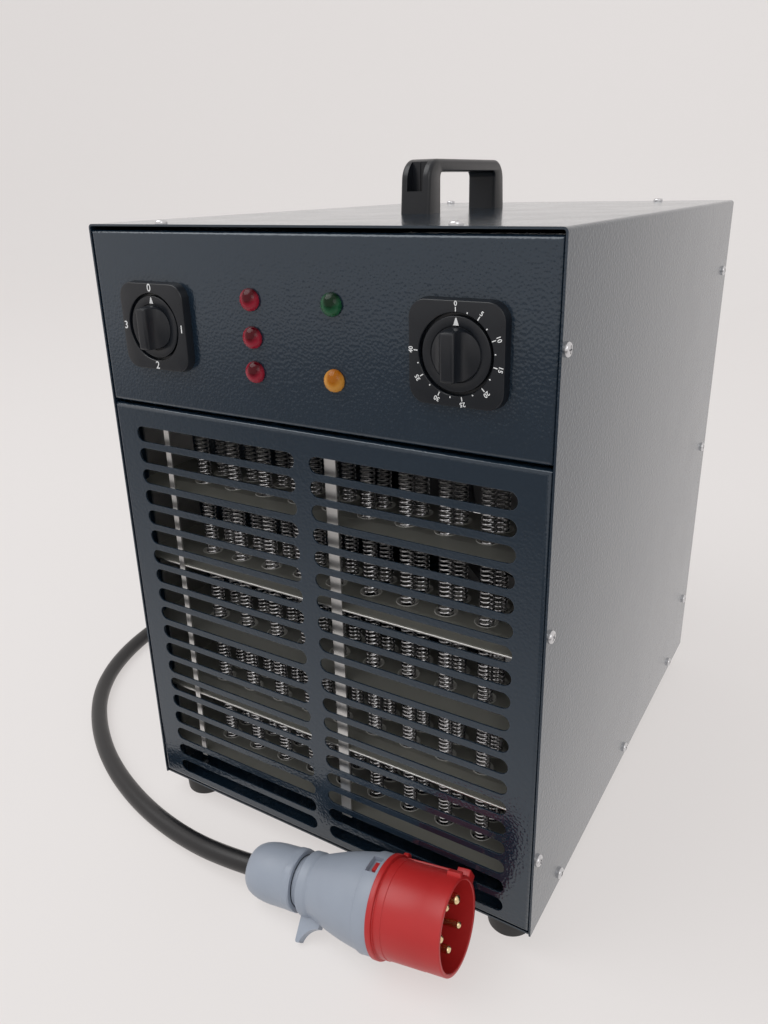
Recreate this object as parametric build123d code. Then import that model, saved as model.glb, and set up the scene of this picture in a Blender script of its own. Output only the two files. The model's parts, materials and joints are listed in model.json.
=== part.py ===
from build123d import *
import math
import os

# An industrial fan heater: a folded steel case on four rubber feet, with a control panel above a
# slotted grille, a pack of wound heating coils behind the grille and an axial fan at the rear.
# Sizes are in millimetres. X runs to the right across the front, Y from the front face to the
# rear, and Z up from the floor. Heights inside the case are measured from its lower edge.

# How many flat sides stand for a round where nothing turns in it or on it
screw_sides = 6
small_sides = 8
medium_sides = 12
large_sides = 24
ring_sides = 32
slot_end_sides = 4

# Case
case_width = 312.0
case_height = 420.0
case_depth = 400.0
foot_height = 18.0
sheet = 1.2                    # thickness of the folded sheets
fold_radius = 2.6              # outside radius of a fold
panel_gap = 2.4                # gap between a panel and the edge of the shell
control_height = 113.0         # from the middle of the seam to the top of the case
seam_gap = 2.0
front_flange = 12.0
rear_flange = 24.0
base_flange = 16.0
seat_gap = 0.3                 # clearance of a seated piece
flange_gap = 2.0               # from the base pan's flanges to those of the panels
past = 1.0                     # how far a cutter runs past what it cuts

# Screws in the case
screw_head_radius = 3.8
screw_head_height = 2.3
screw_radius = 1.9
screw_length = 7.0
screw_hole_radius = 2.2
screw_top = 0.72               # a screw head's radius at its top, as a share of that at its seat
front_screw_inset = 5.5        # from the front edge
rear_screw_inset = 15.0        # from the rear edge
base_screw_height = 8.0
side_screw_low = 57.0          # from the lower edge of the case
side_screw_high = 55.0         # from its top
base_screw_front = 50.0        # from the front edge
base_screw_rear = 55.0         # from the rear edge
top_screw_inset = 58.0         # from the side of the case

# Grille
slot_height = 10.5
slot_pitch = 15.1
slot_mullion = 10.8            # width of the bar between the two columns
slot_side_margin = 19.0        # from the case's side to the slots
slot_top_margin = 14.35
slot_bottom_margin = 6.0

# Element pack
plate_thickness = 1.5
plate_gap = 2.0                # between a side plate and the shell
plate_front = 19.0
plate_depth = 45.0
tray_count = 6
tray_lowest = 31.2             # height of the lowest tray's front edge
tray_headroom = 8.1            # from the top tray's front edge to the shelf
tray_front = 7.0
tray_bend = 21.0
tray_rise = 3.0
tray_lip = 5.0
coil_count = 9                 # in each row
coil_margin = 43.3             # from a side plate to the nearest coil
coil_radius = 4.9
coil_row_front = 30.0
coil_row_back = 49.0
coil_top_gap = 1.0
coil_foot = 9.0                # how far the coils reach below the lowest tray
bush_radius = 7.4
bush_bore = 6.0
bush_height = 6.6
bush_sides = 6
stay_thickness = 1.2
stay_left_inset = 40.1         # from the side of the case
stay_left_width = 4.4
stay_right_x = 16.5
stay_right_width = 8.0
stay_foot = 4.0                # how far the stays reach below the lowest tray

# Controls
control_inset = 52.5           # from the side of the case to the knob's axis
control_drop = 60.0            # from the top of the case to the knobs' axis
plate_side = 54.0
plate_corner = 10.0
plate_corner_sides = 5
plate_height = 5.5
plate_draft = 8.0
plate_recess_radius = 20.5
plate_floor = 2.0
knob_radius = 19.0
knob_back = 3.9
knob_front = 10.5
knob_bevel = 1.4
knob_lower_bevel = 0.8
grip_reach = 22.5
grip_front_width = 6.6
grip_edge = 0.9
grip_scoop = 1.0               # how much wider the grip is at its waist than at its front
grip_waist = 0.42              # where the waist is, as a share of the grip's height
grip_base_width = 17.0
grip_length = 25.0
knob_hollow = 3.5              # how far the shaft reaches into the grip
shaft_inside = 22.0            # how far it reaches behind the panel
shaft_radius = 3.0
shaft_play = 0.05
bushing_radius = 5.2
nut_across = 14.0
nut_height = 1.5
control_body_side = 44.0
control_body_depth = 48.0
control_body_chamfer = 4.0

# Lamps, as places from the middle of the case and from its top
lamp_radius = 6.5
lamp_reach = 5.4
lamp_rim = 1.0
lamp_steps = 3
lamp_flat = 0.5                # of a step, left flat at the top of the dome
lamp_stem_radius = 4.7
lamp_hole_radius = 5.0
lamp_holder_radius = 6.0
lamp_holder_length = 24.0
lamp_collar = 2.5
red_lamps = ((-29.0, 40.4), (-29.0, 61.8), (-29.0, 81.9))
green_lamp = (27.2, 40.2)
amber_lamp = (27.1, 81.5)

# Handle
handle_length = 121.0
handle_width = 22.0
handle_height = 34.0
handle_bar = 8.0
handle_leg = 16.5
handle_corner = 11.0
handle_gap_corner = 4.0
handle_edge = 2.5
handle_draft = 2.0
pocket_width = 11.7
pocket_floor = 14.0
pocket_depth = 8.0
handle_screw_radius = 2.5
handle_screw_length = 11.0
handle_screw_head = 4.6

# Feet
foot_top_radius = 16.0
foot_bottom_radius = 14.8
foot_edge = 2.0
foot_sides = 18
foot_inset = 22.0              # from the sides, the front and the rear
foot_recess_radius = 7.5
foot_recess_depth = 10.0
foot_screw_radius = 2.4
foot_screw_head = 5.0
foot_screw_end = 4.0           # of the screw above the base pan

# Fan
fan_height = 155.0
fan_hole_radius = 125.0
fan_ring_radius = 123.0
fan_ring_wall = 1.5
fan_ring_length = 56.0
fan_ring_flange = 140.0
fan_flare = 8.0
blade_count = 7
blade_tip_gap = 5.0
blade_thickness = 2.0
blade_root_chord = 43.0
blade_tip_chord = 68.0
blade_root_angle = 40.0        # between a blade and the plane it turns in
blade_tip_angle = 24.0
hub_radius = 52.0
hub_wall = 3.0
hub_depth = 32.0
hub_bevel = 5.0
hub_lead = 12.0                # from the hub's front to the motor's nose
boss_radius = 10.0
boss_length = 11.0
motor_radius = 43.0
motor_length = 50.0
motor_shaft_radius = 4.0
motor_bearing = 22.0           # how deep the motor holds its shaft
motor_nose_radius = 16.0
motor_nose_length = 7.0
motor_nose_bevel = 2.0
guard_wire = 2.5
guard_rings = 6
guard_outer_radius = 128.0
guard_plate_radius = 40.0
guard_arm_width = 6.0
guard_ear_radius = 134.0

# Shelf and what stands on it
shelf_drop = 2.2               # from the seam down to the shelf's underside
shelf_flange = 10.0
rail_width = 35.0
rail_crown = 27.0
rail_sheet = 1.0
rail_height = 7.5
rail_length = 200.0
rail_depth = 120.0             # from the front face
contactor_size = (45.0, 58.0, 70.0)
contactor_step = 9.0           # depth of its shoulders
contactor_x = -60.0
terminal_size = (96.0, 40.0, 34.0)
terminal_step = 12.0
terminal_x = 45.0
shoulder_share = 0.62          # height of a device's shoulders as a share of its own
cutout_radius = 8.0
cutout_flange = 3.0
cutout_edge = 1.0              # thickness of its flange, and its bevel
cutout_depth = 10.0
cutout_place = (60.0, 92.0)
bulb_radius = 4.0
bulb_length = 45.0
bulb_offset = 14.5             # from the thermostat's axis to the bulb
bulb_gap = 2.0                 # from the bulb to the fan's ring
capillary_radius = 1.2
capillary_bend = 18.0
capillary_end = 1.0            # how deep the thin tube sits in the bulb
capillary_drop = 8.0           # from the knobs' axis
bulb_drop = 13.0               # from the shelf

# Plug, along its own axis from the collar's rear face: plus towards the mouth
plug_collar = (73.8, -34.3, 31.35)
plug_yaw = 4.5
plug_tilt = 7.0
collar_radius = 31.25
collar_width = 4.0
sleeve_base_radius = 29.6
sleeve_mouth_radius = 28.6
sleeve_length = 48.0
sleeve_wall = 2.5
sleeve_floor = 6.0
collar_bevel = 1.0             # from the collar's front face to the sleeve
insert_height = 6.0
pin_circle = 14.8
pin_radius = 2.5
earth_pin_radius = 3.5
pin_reach = 44.5
pin_stem_step = 0.6            # how much thinner a pin is inside the disc
pin_tip = 2.2
pin_tip_share = 0.6            # a pin's radius at its end, as a share of its own
key_width = 10.0
key_length = 9.0
key_step = 1.5                 # how far the rib stands out, and the key beyond it
rib_width = 5.0
root_depth = 1.0               # how deep ribs, key and lugs reach into what carries them
collar_lug = 3.6
key_angle = 26.0               # of the key and the earth pin, up from the side that faces the case
rib_angle = 37.0               # from the key to the small rib beside it
lug_angle = 221.0              # of the lug under the neck
lug_reach = 35.6
lug_width = 6.0
lug_front = -42.0
lug_rear = -57.0
lug_edge = 1.0                 # height of the bevel on the lug's rear edge
lug_crest = 2.0                # width of its crest
lug_foot = 3.5                 # height of its front end
window_depth = 2.0
window_front = -2.0
window_rear = -9.0
windows = ((100.0, 12.0), (262.0, 8.0))    # angle and width of the windows behind the collar
body_step = 0.8                # from the collar's edge down to the body
body_bevel = 1.0
body_bulge = 0.45
body_band = -10.0
neck_front = -50.0
neck_rear = -58.0
neck_radius = 19.5
neck_ring = 0.9
neck_ring_gap = 2.0            # from the front end of the neck to its ring
neck_core = 16.5
nut_front = -63.0
nut_rear = -102.0
plug_nut_radius = 20.4
plug_nut_end_radius = 14.0
nut_lip = 4.0
nut_lip_step = 0.9             # how far the lip stands out
nut_bevel = 0.7
nut_dome = 21.0                # length of the nut's domed end
nut_dome_steps = 3
cord_socket = 18.0             # how deep the cord sits in a nut

# Cord
cord_radius = 7.0
cord_height = 7.3              # of the cord's centre where it lies on the floor
cord_play = 0.25
cord_sides = 8
cord_lift = 26.0               # length of cord behind the plug's nut that stays on the plug's axis
gland_inset = 51.0             # from the side of the case
gland_height = 30.0
gland_radius = 12.0
gland_thread_radius = 10.0
gland_nut = 5.0
gland_inner_nut_radius = 14.0
gland_hexagon_radius = 15.0
gland_hexagon = 6.0
gland_thread_end = 4.0         # how far the thread shows past the nut
gland_bevel = 3.0
gland_mouth = 1.5              # how much narrower the gland's mouth is
gland_length = 14.0
relief_length = 30.0
relief_end_radius = 8.6

# Levels and limits that follow from the sizes above
half_width = case_width / 2
inner_half = half_width - sheet
case_bottom = foot_height
case_top = case_bottom + case_height
seam = case_top - control_height
shelf_bottom = seam - shelf_drop
shelf_top = shelf_bottom + sheet
knob_level = case_top - control_drop
plate_inner = inner_half - plate_gap - plate_thickness
plate_rear = plate_front + plate_depth
tray_pitch = (shelf_bottom - tray_headroom - case_bottom - tray_lowest) / (tray_count - 1)
tray_levels = [case_bottom + tray_lowest + i * tray_pitch for i in range(tray_count)]
coil_pitch = 2 * (plate_inner - coil_margin) / (coil_count - 1)
coil_places = [(i - (coil_count - 1) / 2) * coil_pitch for i in range(coil_count)]
control_spread = half_width - control_inset
gland_x = half_width - gland_inset
bulb_x = control_spread + bulb_offset
bulb_y = case_depth - sheet - fan_ring_length - bulb_gap - bulb_radius
bulb_top = shelf_bottom - bulb_drop
shaft_top = knob_front + knob_hollow
shaft_tail = -sheet - shaft_inside
handle_middle = case_depth / 2
handle_screw_spread = handle_length / 2 - handle_leg / 2
rear_inner = case_depth - sheet
motor_front = case_depth - motor_length
fan_axis = (0, 0, case_bottom + fan_height)
guard_rear = case_depth + 2 * guard_wire
middle_y = (guard_rear - grip_reach) / 2
front_axis = (0, -1, 0)
rear_axis = (0, 1, 0)
lamp_places = [*red_lamps, green_lamp, amber_lamp]
foot_places = [(side * (half_width - foot_inset), y) for y in (foot_inset, case_depth - foot_inset)
               for side in (-1, 1)]


# Helpers

def block(x, y, z):
    """A box between pairs of limits along X, Y and Z."""
    centre = ((x[0] + x[1]) / 2, (y[0] + y[1]) / 2, (z[0] + z[1]) / 2)
    return Pos(*centre) * Box(x[1] - x[0], y[1] - y[0], z[1] - z[0])


def placed(start, direction):
    """A frame whose local Z points along a direction."""
    return Plane(origin=start, z_dir=direction)


def rod(start, direction, radius, length):
    """A cylinder that grows from a point along a direction."""
    return placed(start, direction) * Cylinder(
        radius, length, align=(Align.CENTER, Align.CENTER, Align.MIN))


def ring_points(radius, height, sides):
    """The corners of a regular polygon around the Z axis."""
    steps = [2 * math.pi * i / sides for i in range(sides)]
    return [(radius * math.cos(a), radius * math.sin(a), height) for a in steps]


def turned(outline, sides):
    """A turned shape with flat sides, from (radius, height) points from one end to the other."""
    rings = [ring_points(radius, height, sides) for radius, height in outline]
    faces = [Face(Wire.make_polygon(rings[0])), Face(Wire.make_polygon(rings[-1]))]
    for low, high in zip(rings, rings[1:]):
        for i in range(sides):
            faces.append(Face(Wire.make_polygon([low[i - 1], low[i], high[i], high[i - 1]])))
    return Solid(Shell(faces))


def corner_radius(clear, sides):
    """The corner radius of a many-sided hole whose flats leave a radius clear."""
    return clear / math.cos(math.pi / sides)


def front_frame(x, level):
    """A frame on the front face whose local Z points out towards the user."""
    return Plane(origin=(x, 0, level), x_dir=(1, 0, 0), z_dir=front_axis)


def prism(radius, sides, start, direction, length):
    """A regular prism that grows from a point along a direction."""
    return placed(start, direction) * extrude(
        RegularPolygon(radius, sides, major_radius=True), amount=length)


def hole(clear, sides, start, direction, length):
    """A many-sided prism to cut, whose flats leave a radius clear."""
    return prism(corner_radius(clear, sides), sides, start, direction, length)


def joined(pieces):
    """One solid of pieces that touch or overlap."""
    whole = pieces[0]
    for piece in pieces[1:]:
        whole = whole + piece
    return whole


def group(pieces):
    """Separate solids that share one node."""
    return Compound(children=list(pieces))


def pan_screw(head_radius, head_height, shank_radius, length):
    """A pan head screw on the origin: its shank points down."""
    return turned([(shank_radius, -length), (shank_radius, 0), (head_radius, 0),
                   (head_radius * screw_top, head_height)], screw_sides)


# Case

def case_screw_places():
    """Seat and outward direction of each screw in the shell."""
    places = []
    case_middle = case_bottom + (side_screw_low + case_height - side_screw_high) / 2
    side_levels = (case_bottom + side_screw_low, case_middle, case_top - side_screw_high)
    base_depths = (base_screw_front, case_depth / 2, case_depth - base_screw_rear)
    for side in (-1, 1):
        for y in (front_screw_inset, case_depth - rear_screw_inset):
            places.append(((side * (half_width - top_screw_inset), y, case_top), (0, 0, 1)))
            for level in side_levels:
                places.append(((side * half_width, y, level), (side, 0, 0)))
        for y in base_depths:
            places.append(((side * half_width, y, case_bottom + base_screw_height), (side, 0, 0)))
    return places


def with_case_holes(piece):
    """Cut the holes of the shell's screws through a sheet."""
    holes = []
    for seat, outward in case_screw_places():
        inward = tuple(-c for c in outward)
        above = tuple(s + past * c for s, c in zip(seat, outward))
        holes.append(hole(screw_hole_radius, screw_sides, above, inward, screw_length + 2 * past))
    return piece - holes


def handle_screw_places():
    return [(0, handle_middle + end * handle_screw_spread) for end in (-1, 1)]


def outer_shell():
    """One sheet folded over the top and down both sides."""
    outer = block((-half_width, half_width), (0, case_depth), (case_bottom, case_top))
    folds = outer.edges().filter_by(Axis.Y).group_by(Axis.Z)[-1]
    outer = fillet(folds, fold_radius)
    inner = block((-inner_half, inner_half), (-past, case_depth + past),
                  (case_bottom - past, case_top - sheet))
    folds = inner.edges().filter_by(Axis.Y).group_by(Axis.Z)[-1]
    inner = fillet(folds, fold_radius - sheet)
    shell = with_case_holes(outer - inner)
    for x, y in handle_screw_places():
        shell = shell - hole(handle_screw_radius + seat_gap, screw_sides,
                             (x, y, case_top - sheet - past), (0, 0, 1), sheet + 2 * past)
    return shell


def base_pan():
    """The bottom sheet with a flange up each side."""
    top = case_bottom + sheet
    pan = block((-inner_half, inner_half), (sheet, case_depth - sheet), (case_bottom, top))
    for side in (-1, 1):
        x = sorted((side * inner_half, side * (inner_half - sheet)))
        pan = pan + block(x, (front_flange + flange_gap, rear_inner - rear_flange - flange_gap),
                          (case_bottom, case_bottom + base_flange))
    for x, y in foot_places:
        pan = pan - hole(foot_screw_radius + seat_gap, screw_sides, (x, y, case_bottom - past),
                         (0, 0, 1), sheet + 2 * past)
    return with_case_holes(pan)


def folded_front(bottom, top):
    """A front panel: a face with a flange folded back along each edge."""
    outer = block((-inner_half, inner_half), (0, front_flange), (bottom, top))
    outer = fillet(outer.faces().sort_by(Axis.Y)[0].edges(), fold_radius)
    inner = block((-inner_half + sheet, inner_half - sheet), (sheet, front_flange + past),
                  (bottom + sheet, top - sheet))
    inner = fillet(inner.faces().sort_by(Axis.Y)[0].edges(), fold_radius - sheet)
    return outer - inner


def slot_outline(length, height):
    """A slot whose round ends have a few flats."""
    r = height / 2
    points = []
    for end in (1, -1):
        for i in range(slot_end_sides + 1):
            a = math.pi * (i / slot_end_sides - 0.5)
            points.append((end * (length / 2 - r + r * math.cos(a)), end * r * math.sin(a)))
    return make_face(Polyline(points, close=True))


def front_grille():
    """The lower front panel with two columns of round-ended slots."""
    bottom = case_bottom + panel_gap
    top = seam - seam_gap / 2
    slot_length = half_width - slot_side_margin - slot_mullion / 2
    slot_x = slot_mullion / 2 + slot_length / 2
    room = top - bottom - slot_top_margin - slot_bottom_margin - slot_height
    first = top - slot_top_margin - slot_height / 2
    slot = extrude(slot_outline(slot_length, slot_height), amount=4 * sheet)
    slots = [front_frame(side * slot_x, first - row * slot_pitch) * Pos(0, 0, -3 * sheet) * slot
             for row in range(int(room / slot_pitch) + 1) for side in (-1, 1)]
    return with_case_holes(folded_front(bottom, top) - slots)


def control_panel():
    """The upper front panel with holes for the controls and lamps."""
    panel = folded_front(seam + seam_gap / 2, case_top - sheet - panel_gap)
    holes = [((side * control_spread, knob_level), bushing_radius + seat_gap) for side in (-1, 1)]
    holes += [((x, case_top - drop), lamp_hole_radius) for x, drop in lamp_places]
    for (x, level), radius in holes:
        panel = panel - hole(radius, small_sides, (x, sheet + past, level), front_axis,
                             sheet + 2 * past)
    return with_case_holes(panel)


def rear_panel():
    """The rear panel with the fan's hole and the gland's hole."""
    bottom = case_bottom + sheet + seat_gap
    top = case_top - sheet - panel_gap
    outer = block((-inner_half, inner_half), (case_depth - rear_flange, case_depth), (bottom, top))
    outer = fillet(outer.faces().sort_by(Axis.Y)[-1].edges().filter_by(Axis.Z), fold_radius)
    inner = block((-inner_half + sheet, inner_half - sheet), (0, rear_inner),
                  (bottom - past, top - sheet))
    inner = fillet(inner.faces().sort_by(Axis.Y)[-1].edges().filter_by(Axis.Z), fold_radius - sheet)
    panel = outer - inner
    holes = [((0, fan_axis[2]), fan_hole_radius, ring_sides),
             ((gland_x, case_bottom + gland_height), gland_thread_radius + seat_gap, medium_sides)]
    holes += [(place, screw_hole_radius, screw_sides) for place in guard_screw_places()]
    for (x, level), radius, sides in holes:
        panel = panel - hole(radius, sides, (x, rear_inner - past, level), rear_axis,
                             sheet + 2 * past)
    return with_case_holes(panel)


def shell_screws():
    screw = pan_screw(screw_head_radius, screw_head_height, screw_radius, screw_length)
    return group(placed(seat, outward) * screw for seat, outward in case_screw_places())


# Handle

def carry_handle():
    """A moulded bridge handle with an open pocket in each end."""
    end = handle_length / 2
    outline = make_face(Polyline(
        (-end, 0), (-end + handle_draft, handle_height), (end - handle_draft, handle_height), (end, 0),
        close=True))
    outline = fillet(outline.vertices().group_by(Axis.Y)[-1], handle_corner)
    gap_half = end - handle_leg
    gap_top = handle_height - handle_bar
    gap = make_face(Polyline((-gap_half, -past), (-gap_half, gap_top), (gap_half, gap_top),
                             (gap_half, -past), close=True))
    gap = fillet(gap.vertices().group_by(Axis.Y)[-1], handle_gap_corner)
    side = Plane(origin=(0, handle_middle, case_top), x_dir=(0, 1, 0), z_dir=(1, 0, 0))
    solid = extrude(outline, amount=handle_width / 2, both=True)
    rims = solid.edges().filter_by(lambda e: abs(abs(e.center().Z) - handle_width / 2) < 0.01)
    solid = chamfer(rims.filter_by(lambda e: e.center().Y > 0.01), handle_edge)
    handle = side * (solid - extrude(gap, amount=handle_width, both=True))
    half = pocket_width / 2
    for direction in (-1, 1):
        face = handle_middle + direction * end
        y = sorted((face + direction * past, face - direction * pocket_depth))
        handle = handle - block((-half, half), y,
                                (case_top + pocket_floor, case_top + handle_height + past))
    for x, y in handle_screw_places():
        handle = handle - hole(handle_screw_radius + seat_gap, screw_sides, (x, y, case_top - past),
                               (0, 0, 1), handle_screw_length + 2 * past)
    return handle


def handle_screws():
    screw = pan_screw(handle_screw_head, screw_head_height, handle_screw_radius, handle_screw_length)
    return group(placed((x, y, case_top - sheet), (0, 0, -1)) * screw for x, y in handle_screw_places())


# Feet

def rubber_foot(x, y):
    """A tapered rubber foot, hollow below its screw."""
    foot = turned([(foot_bottom_radius - foot_edge, 0), (foot_bottom_radius, foot_edge),
                   (foot_top_radius, foot_height)], foot_sides)
    foot = foot - hole(foot_recess_radius, medium_sides, (0, 0, -past), (0, 0, 1),
                       foot_recess_depth + past)
    return Pos(x, y, 0) * (foot - hole(foot_screw_radius + seat_gap, screw_sides, (0, 0, 0), (0, 0, 1),
                                       foot_height + past))


def foot_screws():
    length = foot_height - foot_recess_depth + sheet + foot_screw_end
    screw = pan_screw(foot_screw_head, screw_head_height, foot_screw_radius, length)
    return group(placed((x, y, foot_recess_depth), (0, 0, -1)) * screw for x, y in foot_places)


# Element pack

def element_side_plate(side):
    """A bright plate that carries the ends of the trays."""
    x = sorted((side * plate_inner, side * (plate_inner + plate_thickness)))
    return with_case_holes(block(x, (plate_front, plate_rear), (case_bottom + sheet, shelf_bottom)))


def element_tray(level):
    """A tray folded up from its front edge, with holes for the ceramic bushes."""
    top = level + tray_rise
    section = make_face(Polyline(
        (tray_front, level), (tray_front, level + sheet), (tray_bend, top + sheet),
        (plate_rear, top + sheet), (plate_rear, top + sheet - tray_lip),
        (plate_rear - sheet, top + sheet - tray_lip), (plate_rear - sheet, top), (tray_bend, top),
        close=True))
    tray = Plane(origin=(0, 0, 0), x_dir=(0, 1, 0), z_dir=(1, 0, 0)) * extrude(
        section, amount=plate_inner, both=True)
    holes = [prism(bush_radius + seat_gap, bush_sides, (x, y, top - past), (0, 0, 1), sheet + 2 * past)
             for x in coil_places for y in (coil_row_front, coil_row_back)]
    return tray - holes


def ceramic_bushes(row_y):
    """One row's rings, one in each hole of each tray."""
    bore = prism(bush_bore, bush_sides, (0, 0, -past), (0, 0, 1), bush_height + 2 * past)
    ring = prism(bush_radius, bush_sides, (0, 0, 0), (0, 0, 1), bush_height) - bore
    drop = (bush_height - sheet) / 2
    return group(Pos(x, row_y, level + tray_rise - drop) * ring
                 for level in tray_levels for x in coil_places)


def heating_coils(row_y):
    """One row of coils, each as a rod of the winding's outside size."""
    low = tray_levels[0] - coil_foot
    high = shelf_bottom - coil_top_gap
    return group(prism(coil_radius, bush_sides, (x, row_y, low), (0, 0, 1), high - low)
                 for x in coil_places)


def front_stay(x, width):
    """A bright strip down the trays' front edges."""
    return block((x - width / 2, x + width / 2), (tray_front - stay_thickness, tray_front),
                 (tray_levels[0] - stay_foot, shelf_bottom - seat_gap))


# Controls

def rounded_square(side, radius):
    """A square whose round corners have a few flats."""
    points = []
    for quarter in range(4):
        turn = math.pi / 2 * quarter
        reach = (side / 2 - radius) * math.sqrt(2)
        x, y = reach * math.cos(turn + math.pi / 4), reach * math.sin(turn + math.pi / 4)
        for i in range(plate_corner_sides + 1):
            a = turn + math.pi / 2 * i / plate_corner_sides
            points.append((x + radius * math.cos(a), y + radius * math.sin(a)))
    return make_face(Polyline(points, close=True))


def control_plate(x):
    """A square plate with drafted sides and a round recess for its knob."""
    plate = extrude(rounded_square(plate_side, plate_corner), amount=plate_height, taper=plate_draft)
    plate = plate - hole(plate_recess_radius, ring_sides, (0, 0, plate_floor), (0, 0, 1), plate_height)
    plate = plate - hole(bushing_radius + seat_gap, medium_sides, (0, 0, -past), (0, 0, 1),
                         plate_height)
    return front_frame(x, knob_level) * plate


def control_knob(x):
    """A round knob with a scooped bar grip across it."""
    disc = turned([
        (knob_radius - knob_lower_bevel, knob_back), (knob_radius, knob_back + knob_lower_bevel),
        (knob_radius, knob_front - knob_bevel), (knob_radius - knob_bevel, knob_front)], ring_sides)
    base = knob_front - knob_bevel / 2
    wide = grip_base_width / 2
    slim = grip_front_width / 2
    waist = (slim + grip_scoop, base + (grip_reach - base) * grip_waist)
    corner = grip_reach - grip_edge
    section = make_face([
        Line((-wide, base), (wide, base)), ThreePointArc((wide, base), waist, (slim, corner)),
        Line((slim, corner), (slim - grip_edge, grip_reach)),
        Line((slim - grip_edge, grip_reach), (grip_edge - slim, grip_reach)),
        Line((grip_edge - slim, grip_reach), (-slim, corner)),
        ThreePointArc((-slim, corner), (-waist[0], waist[1]), (-wide, base))])
    bar = Plane(origin=(0, 0, 0), x_dir=(1, 0, 0), z_dir=front_axis) * extrude(
        section, amount=knob_radius, both=True)
    taper = turned([(knob_radius - knob_bevel, base), (grip_length / 2, grip_reach)], ring_sides)
    knob = disc + (bar & taper)
    knob = knob - hole(shaft_radius + shaft_play, medium_sides, (0, 0, knob_back - past), (0, 0, 1),
                       shaft_top + seat_gap - knob_back + past)
    return front_frame(x, knob_level) * knob


def control_shaft(x):
    """The shaft that the knob turns."""
    return front_frame(x, knob_level) * rod((0, 0, shaft_tail), (0, 0, 1), shaft_radius,
                                            shaft_top - shaft_tail)


def control_body(x):
    """The body behind the panel, with a threaded bushing through it."""
    half = control_body_side / 2
    rear = -sheet - control_body_depth
    bushing_top = plate_floor + nut_height
    body = block((-half, half), (-half, half), (rear, -sheet))
    body = chamfer(body.edges().filter_by(Axis.Z), control_body_chamfer)
    body = body + prism(bushing_radius, medium_sides, (0, 0, -sheet), (0, 0, 1), bushing_top + sheet)
    bore = bushing_top - shaft_tail + seat_gap
    body = body - rod((0, 0, bushing_top), (0, 0, -1), shaft_radius + shaft_play, bore)
    return front_frame(x, knob_level) * body


def bushing_nuts():
    """The flat nuts that clamp both plates, under the knobs."""
    nut = prism(nut_across / math.sqrt(3), 6, (0, 0, plate_floor), (0, 0, 1), nut_height)
    nut = nut - hole(bushing_radius, medium_sides, (0, 0, 0), (0, 0, 1), plate_height)
    return group(front_frame(side * control_spread, knob_level) * nut for side in (-1, 1))


def lamp_lens(x, drop):
    """A domed lens with a stem through the panel."""
    dome = [(lamp_radius, 0)]
    for i in range(lamp_steps):
        a = math.pi / 2 * i / (lamp_steps - lamp_flat)
        dome.append((lamp_radius * math.cos(a), lamp_rim + (lamp_reach - lamp_rim) * math.sin(a)))
    stem = [(lamp_stem_radius, -sheet), (lamp_stem_radius, 0)]
    return front_frame(x, case_top - drop) * turned(stem + dome, medium_sides)


def lamp_holders():
    """The lamp bodies behind the panel, each with its collar."""
    r = lamp_holder_radius
    collar = lamp_collar
    holder = turned([(r + collar, 0), (r + collar, collar), (r, collar), (r, lamp_holder_length)],
                    small_sides)
    return group(placed((x, sheet, case_top - drop), rear_axis) * holder for x, drop in lamp_places)


# Shelf and electrical pieces

def control_shelf():
    """The floor of the control space, with flanges against the shell's sides."""
    front = front_flange + seat_gap
    rear = case_depth - rear_flange - seat_gap
    shelf = block((-inner_half, inner_half), (front, rear), (shelf_bottom, shelf_top))
    tongue = inner_half - sheet - fold_radius
    shelf = shelf + block((-tongue, tongue), (rear, rear_inner - seat_gap), (shelf_bottom, shelf_top))
    for side in (-1, 1):
        x = sorted((side * inner_half, side * (inner_half - sheet)))
        shelf = shelf + block(x, (front, rear), (shelf_bottom, shelf_top + shelf_flange))
    return shelf - hole(bulb_radius + seat_gap, small_sides, (bulb_x, bulb_y, shelf_bottom - past),
                        (0, 0, 1), sheet + 2 * past)


def din_rail():
    """The top-hat rail on the shelf."""
    half = rail_width / 2
    crown = rail_crown / 2
    t = rail_sheet
    section = make_face(Polyline(
        (-crown, 0), (crown, 0), (crown, rail_height - t), (half, rail_height - t), (half, rail_height),
        (crown - t, rail_height), (crown - t, t), (t - crown, t), (t - crown, rail_height),
        (-half, rail_height), (-half, rail_height - t), (-crown, rail_height - t), close=True))
    frame = Plane(origin=(0, rail_depth, shelf_top), x_dir=(0, 1, 0), z_dir=(1, 0, 0))
    return frame * extrude(section, amount=rail_length / 2, both=True)


def rail_device(x, size, step):
    """A device that clips over the rail, with stepped shoulders."""
    width, depth, height = size
    low = shelf_top + rail_height
    front = rail_depth - depth / 2
    rear = rail_depth + depth / 2
    body = block((x - width / 2, x + width / 2), (front, rear), (low, low + height))
    for y in ((front - past, front + step), (rear - step, rear + past)):
        body = body - block((x - width, x + width), y,
                            (low + height * shoulder_share, low + height + past))
    return body


def thermal_cutout():
    """A disc thermostat on the underside of the shelf."""
    r = cutout_radius
    edge = cutout_edge
    disc = turned([(r + cutout_flange, 0), (r + cutout_flange, edge), (r, edge),
                   (r, cutout_depth - edge), (r - edge, cutout_depth)], medium_sides)
    return placed((*cutout_place, shelf_bottom), (0, 0, -1)) * disc


def thermostat_bulb():
    """The bulb in front of the fan's ring, with the thin tube brazed to it that leads to the body."""
    level = knob_level - capillary_drop
    start = (bulb_x, sheet + control_body_depth, level)
    path = FilletPolyline(start, (bulb_x, bulb_y, level), (bulb_x, bulb_y, bulb_top - capillary_end),
                          radius=capillary_bend)
    tube = sweep(placed(start, rear_axis) * RegularPolygon(capillary_radius, small_sides), path=path)
    return tube + prism(bulb_radius, small_sides, (bulb_x, bulb_y, bulb_top), (0, 0, -1), bulb_length)


# Fan

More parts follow.
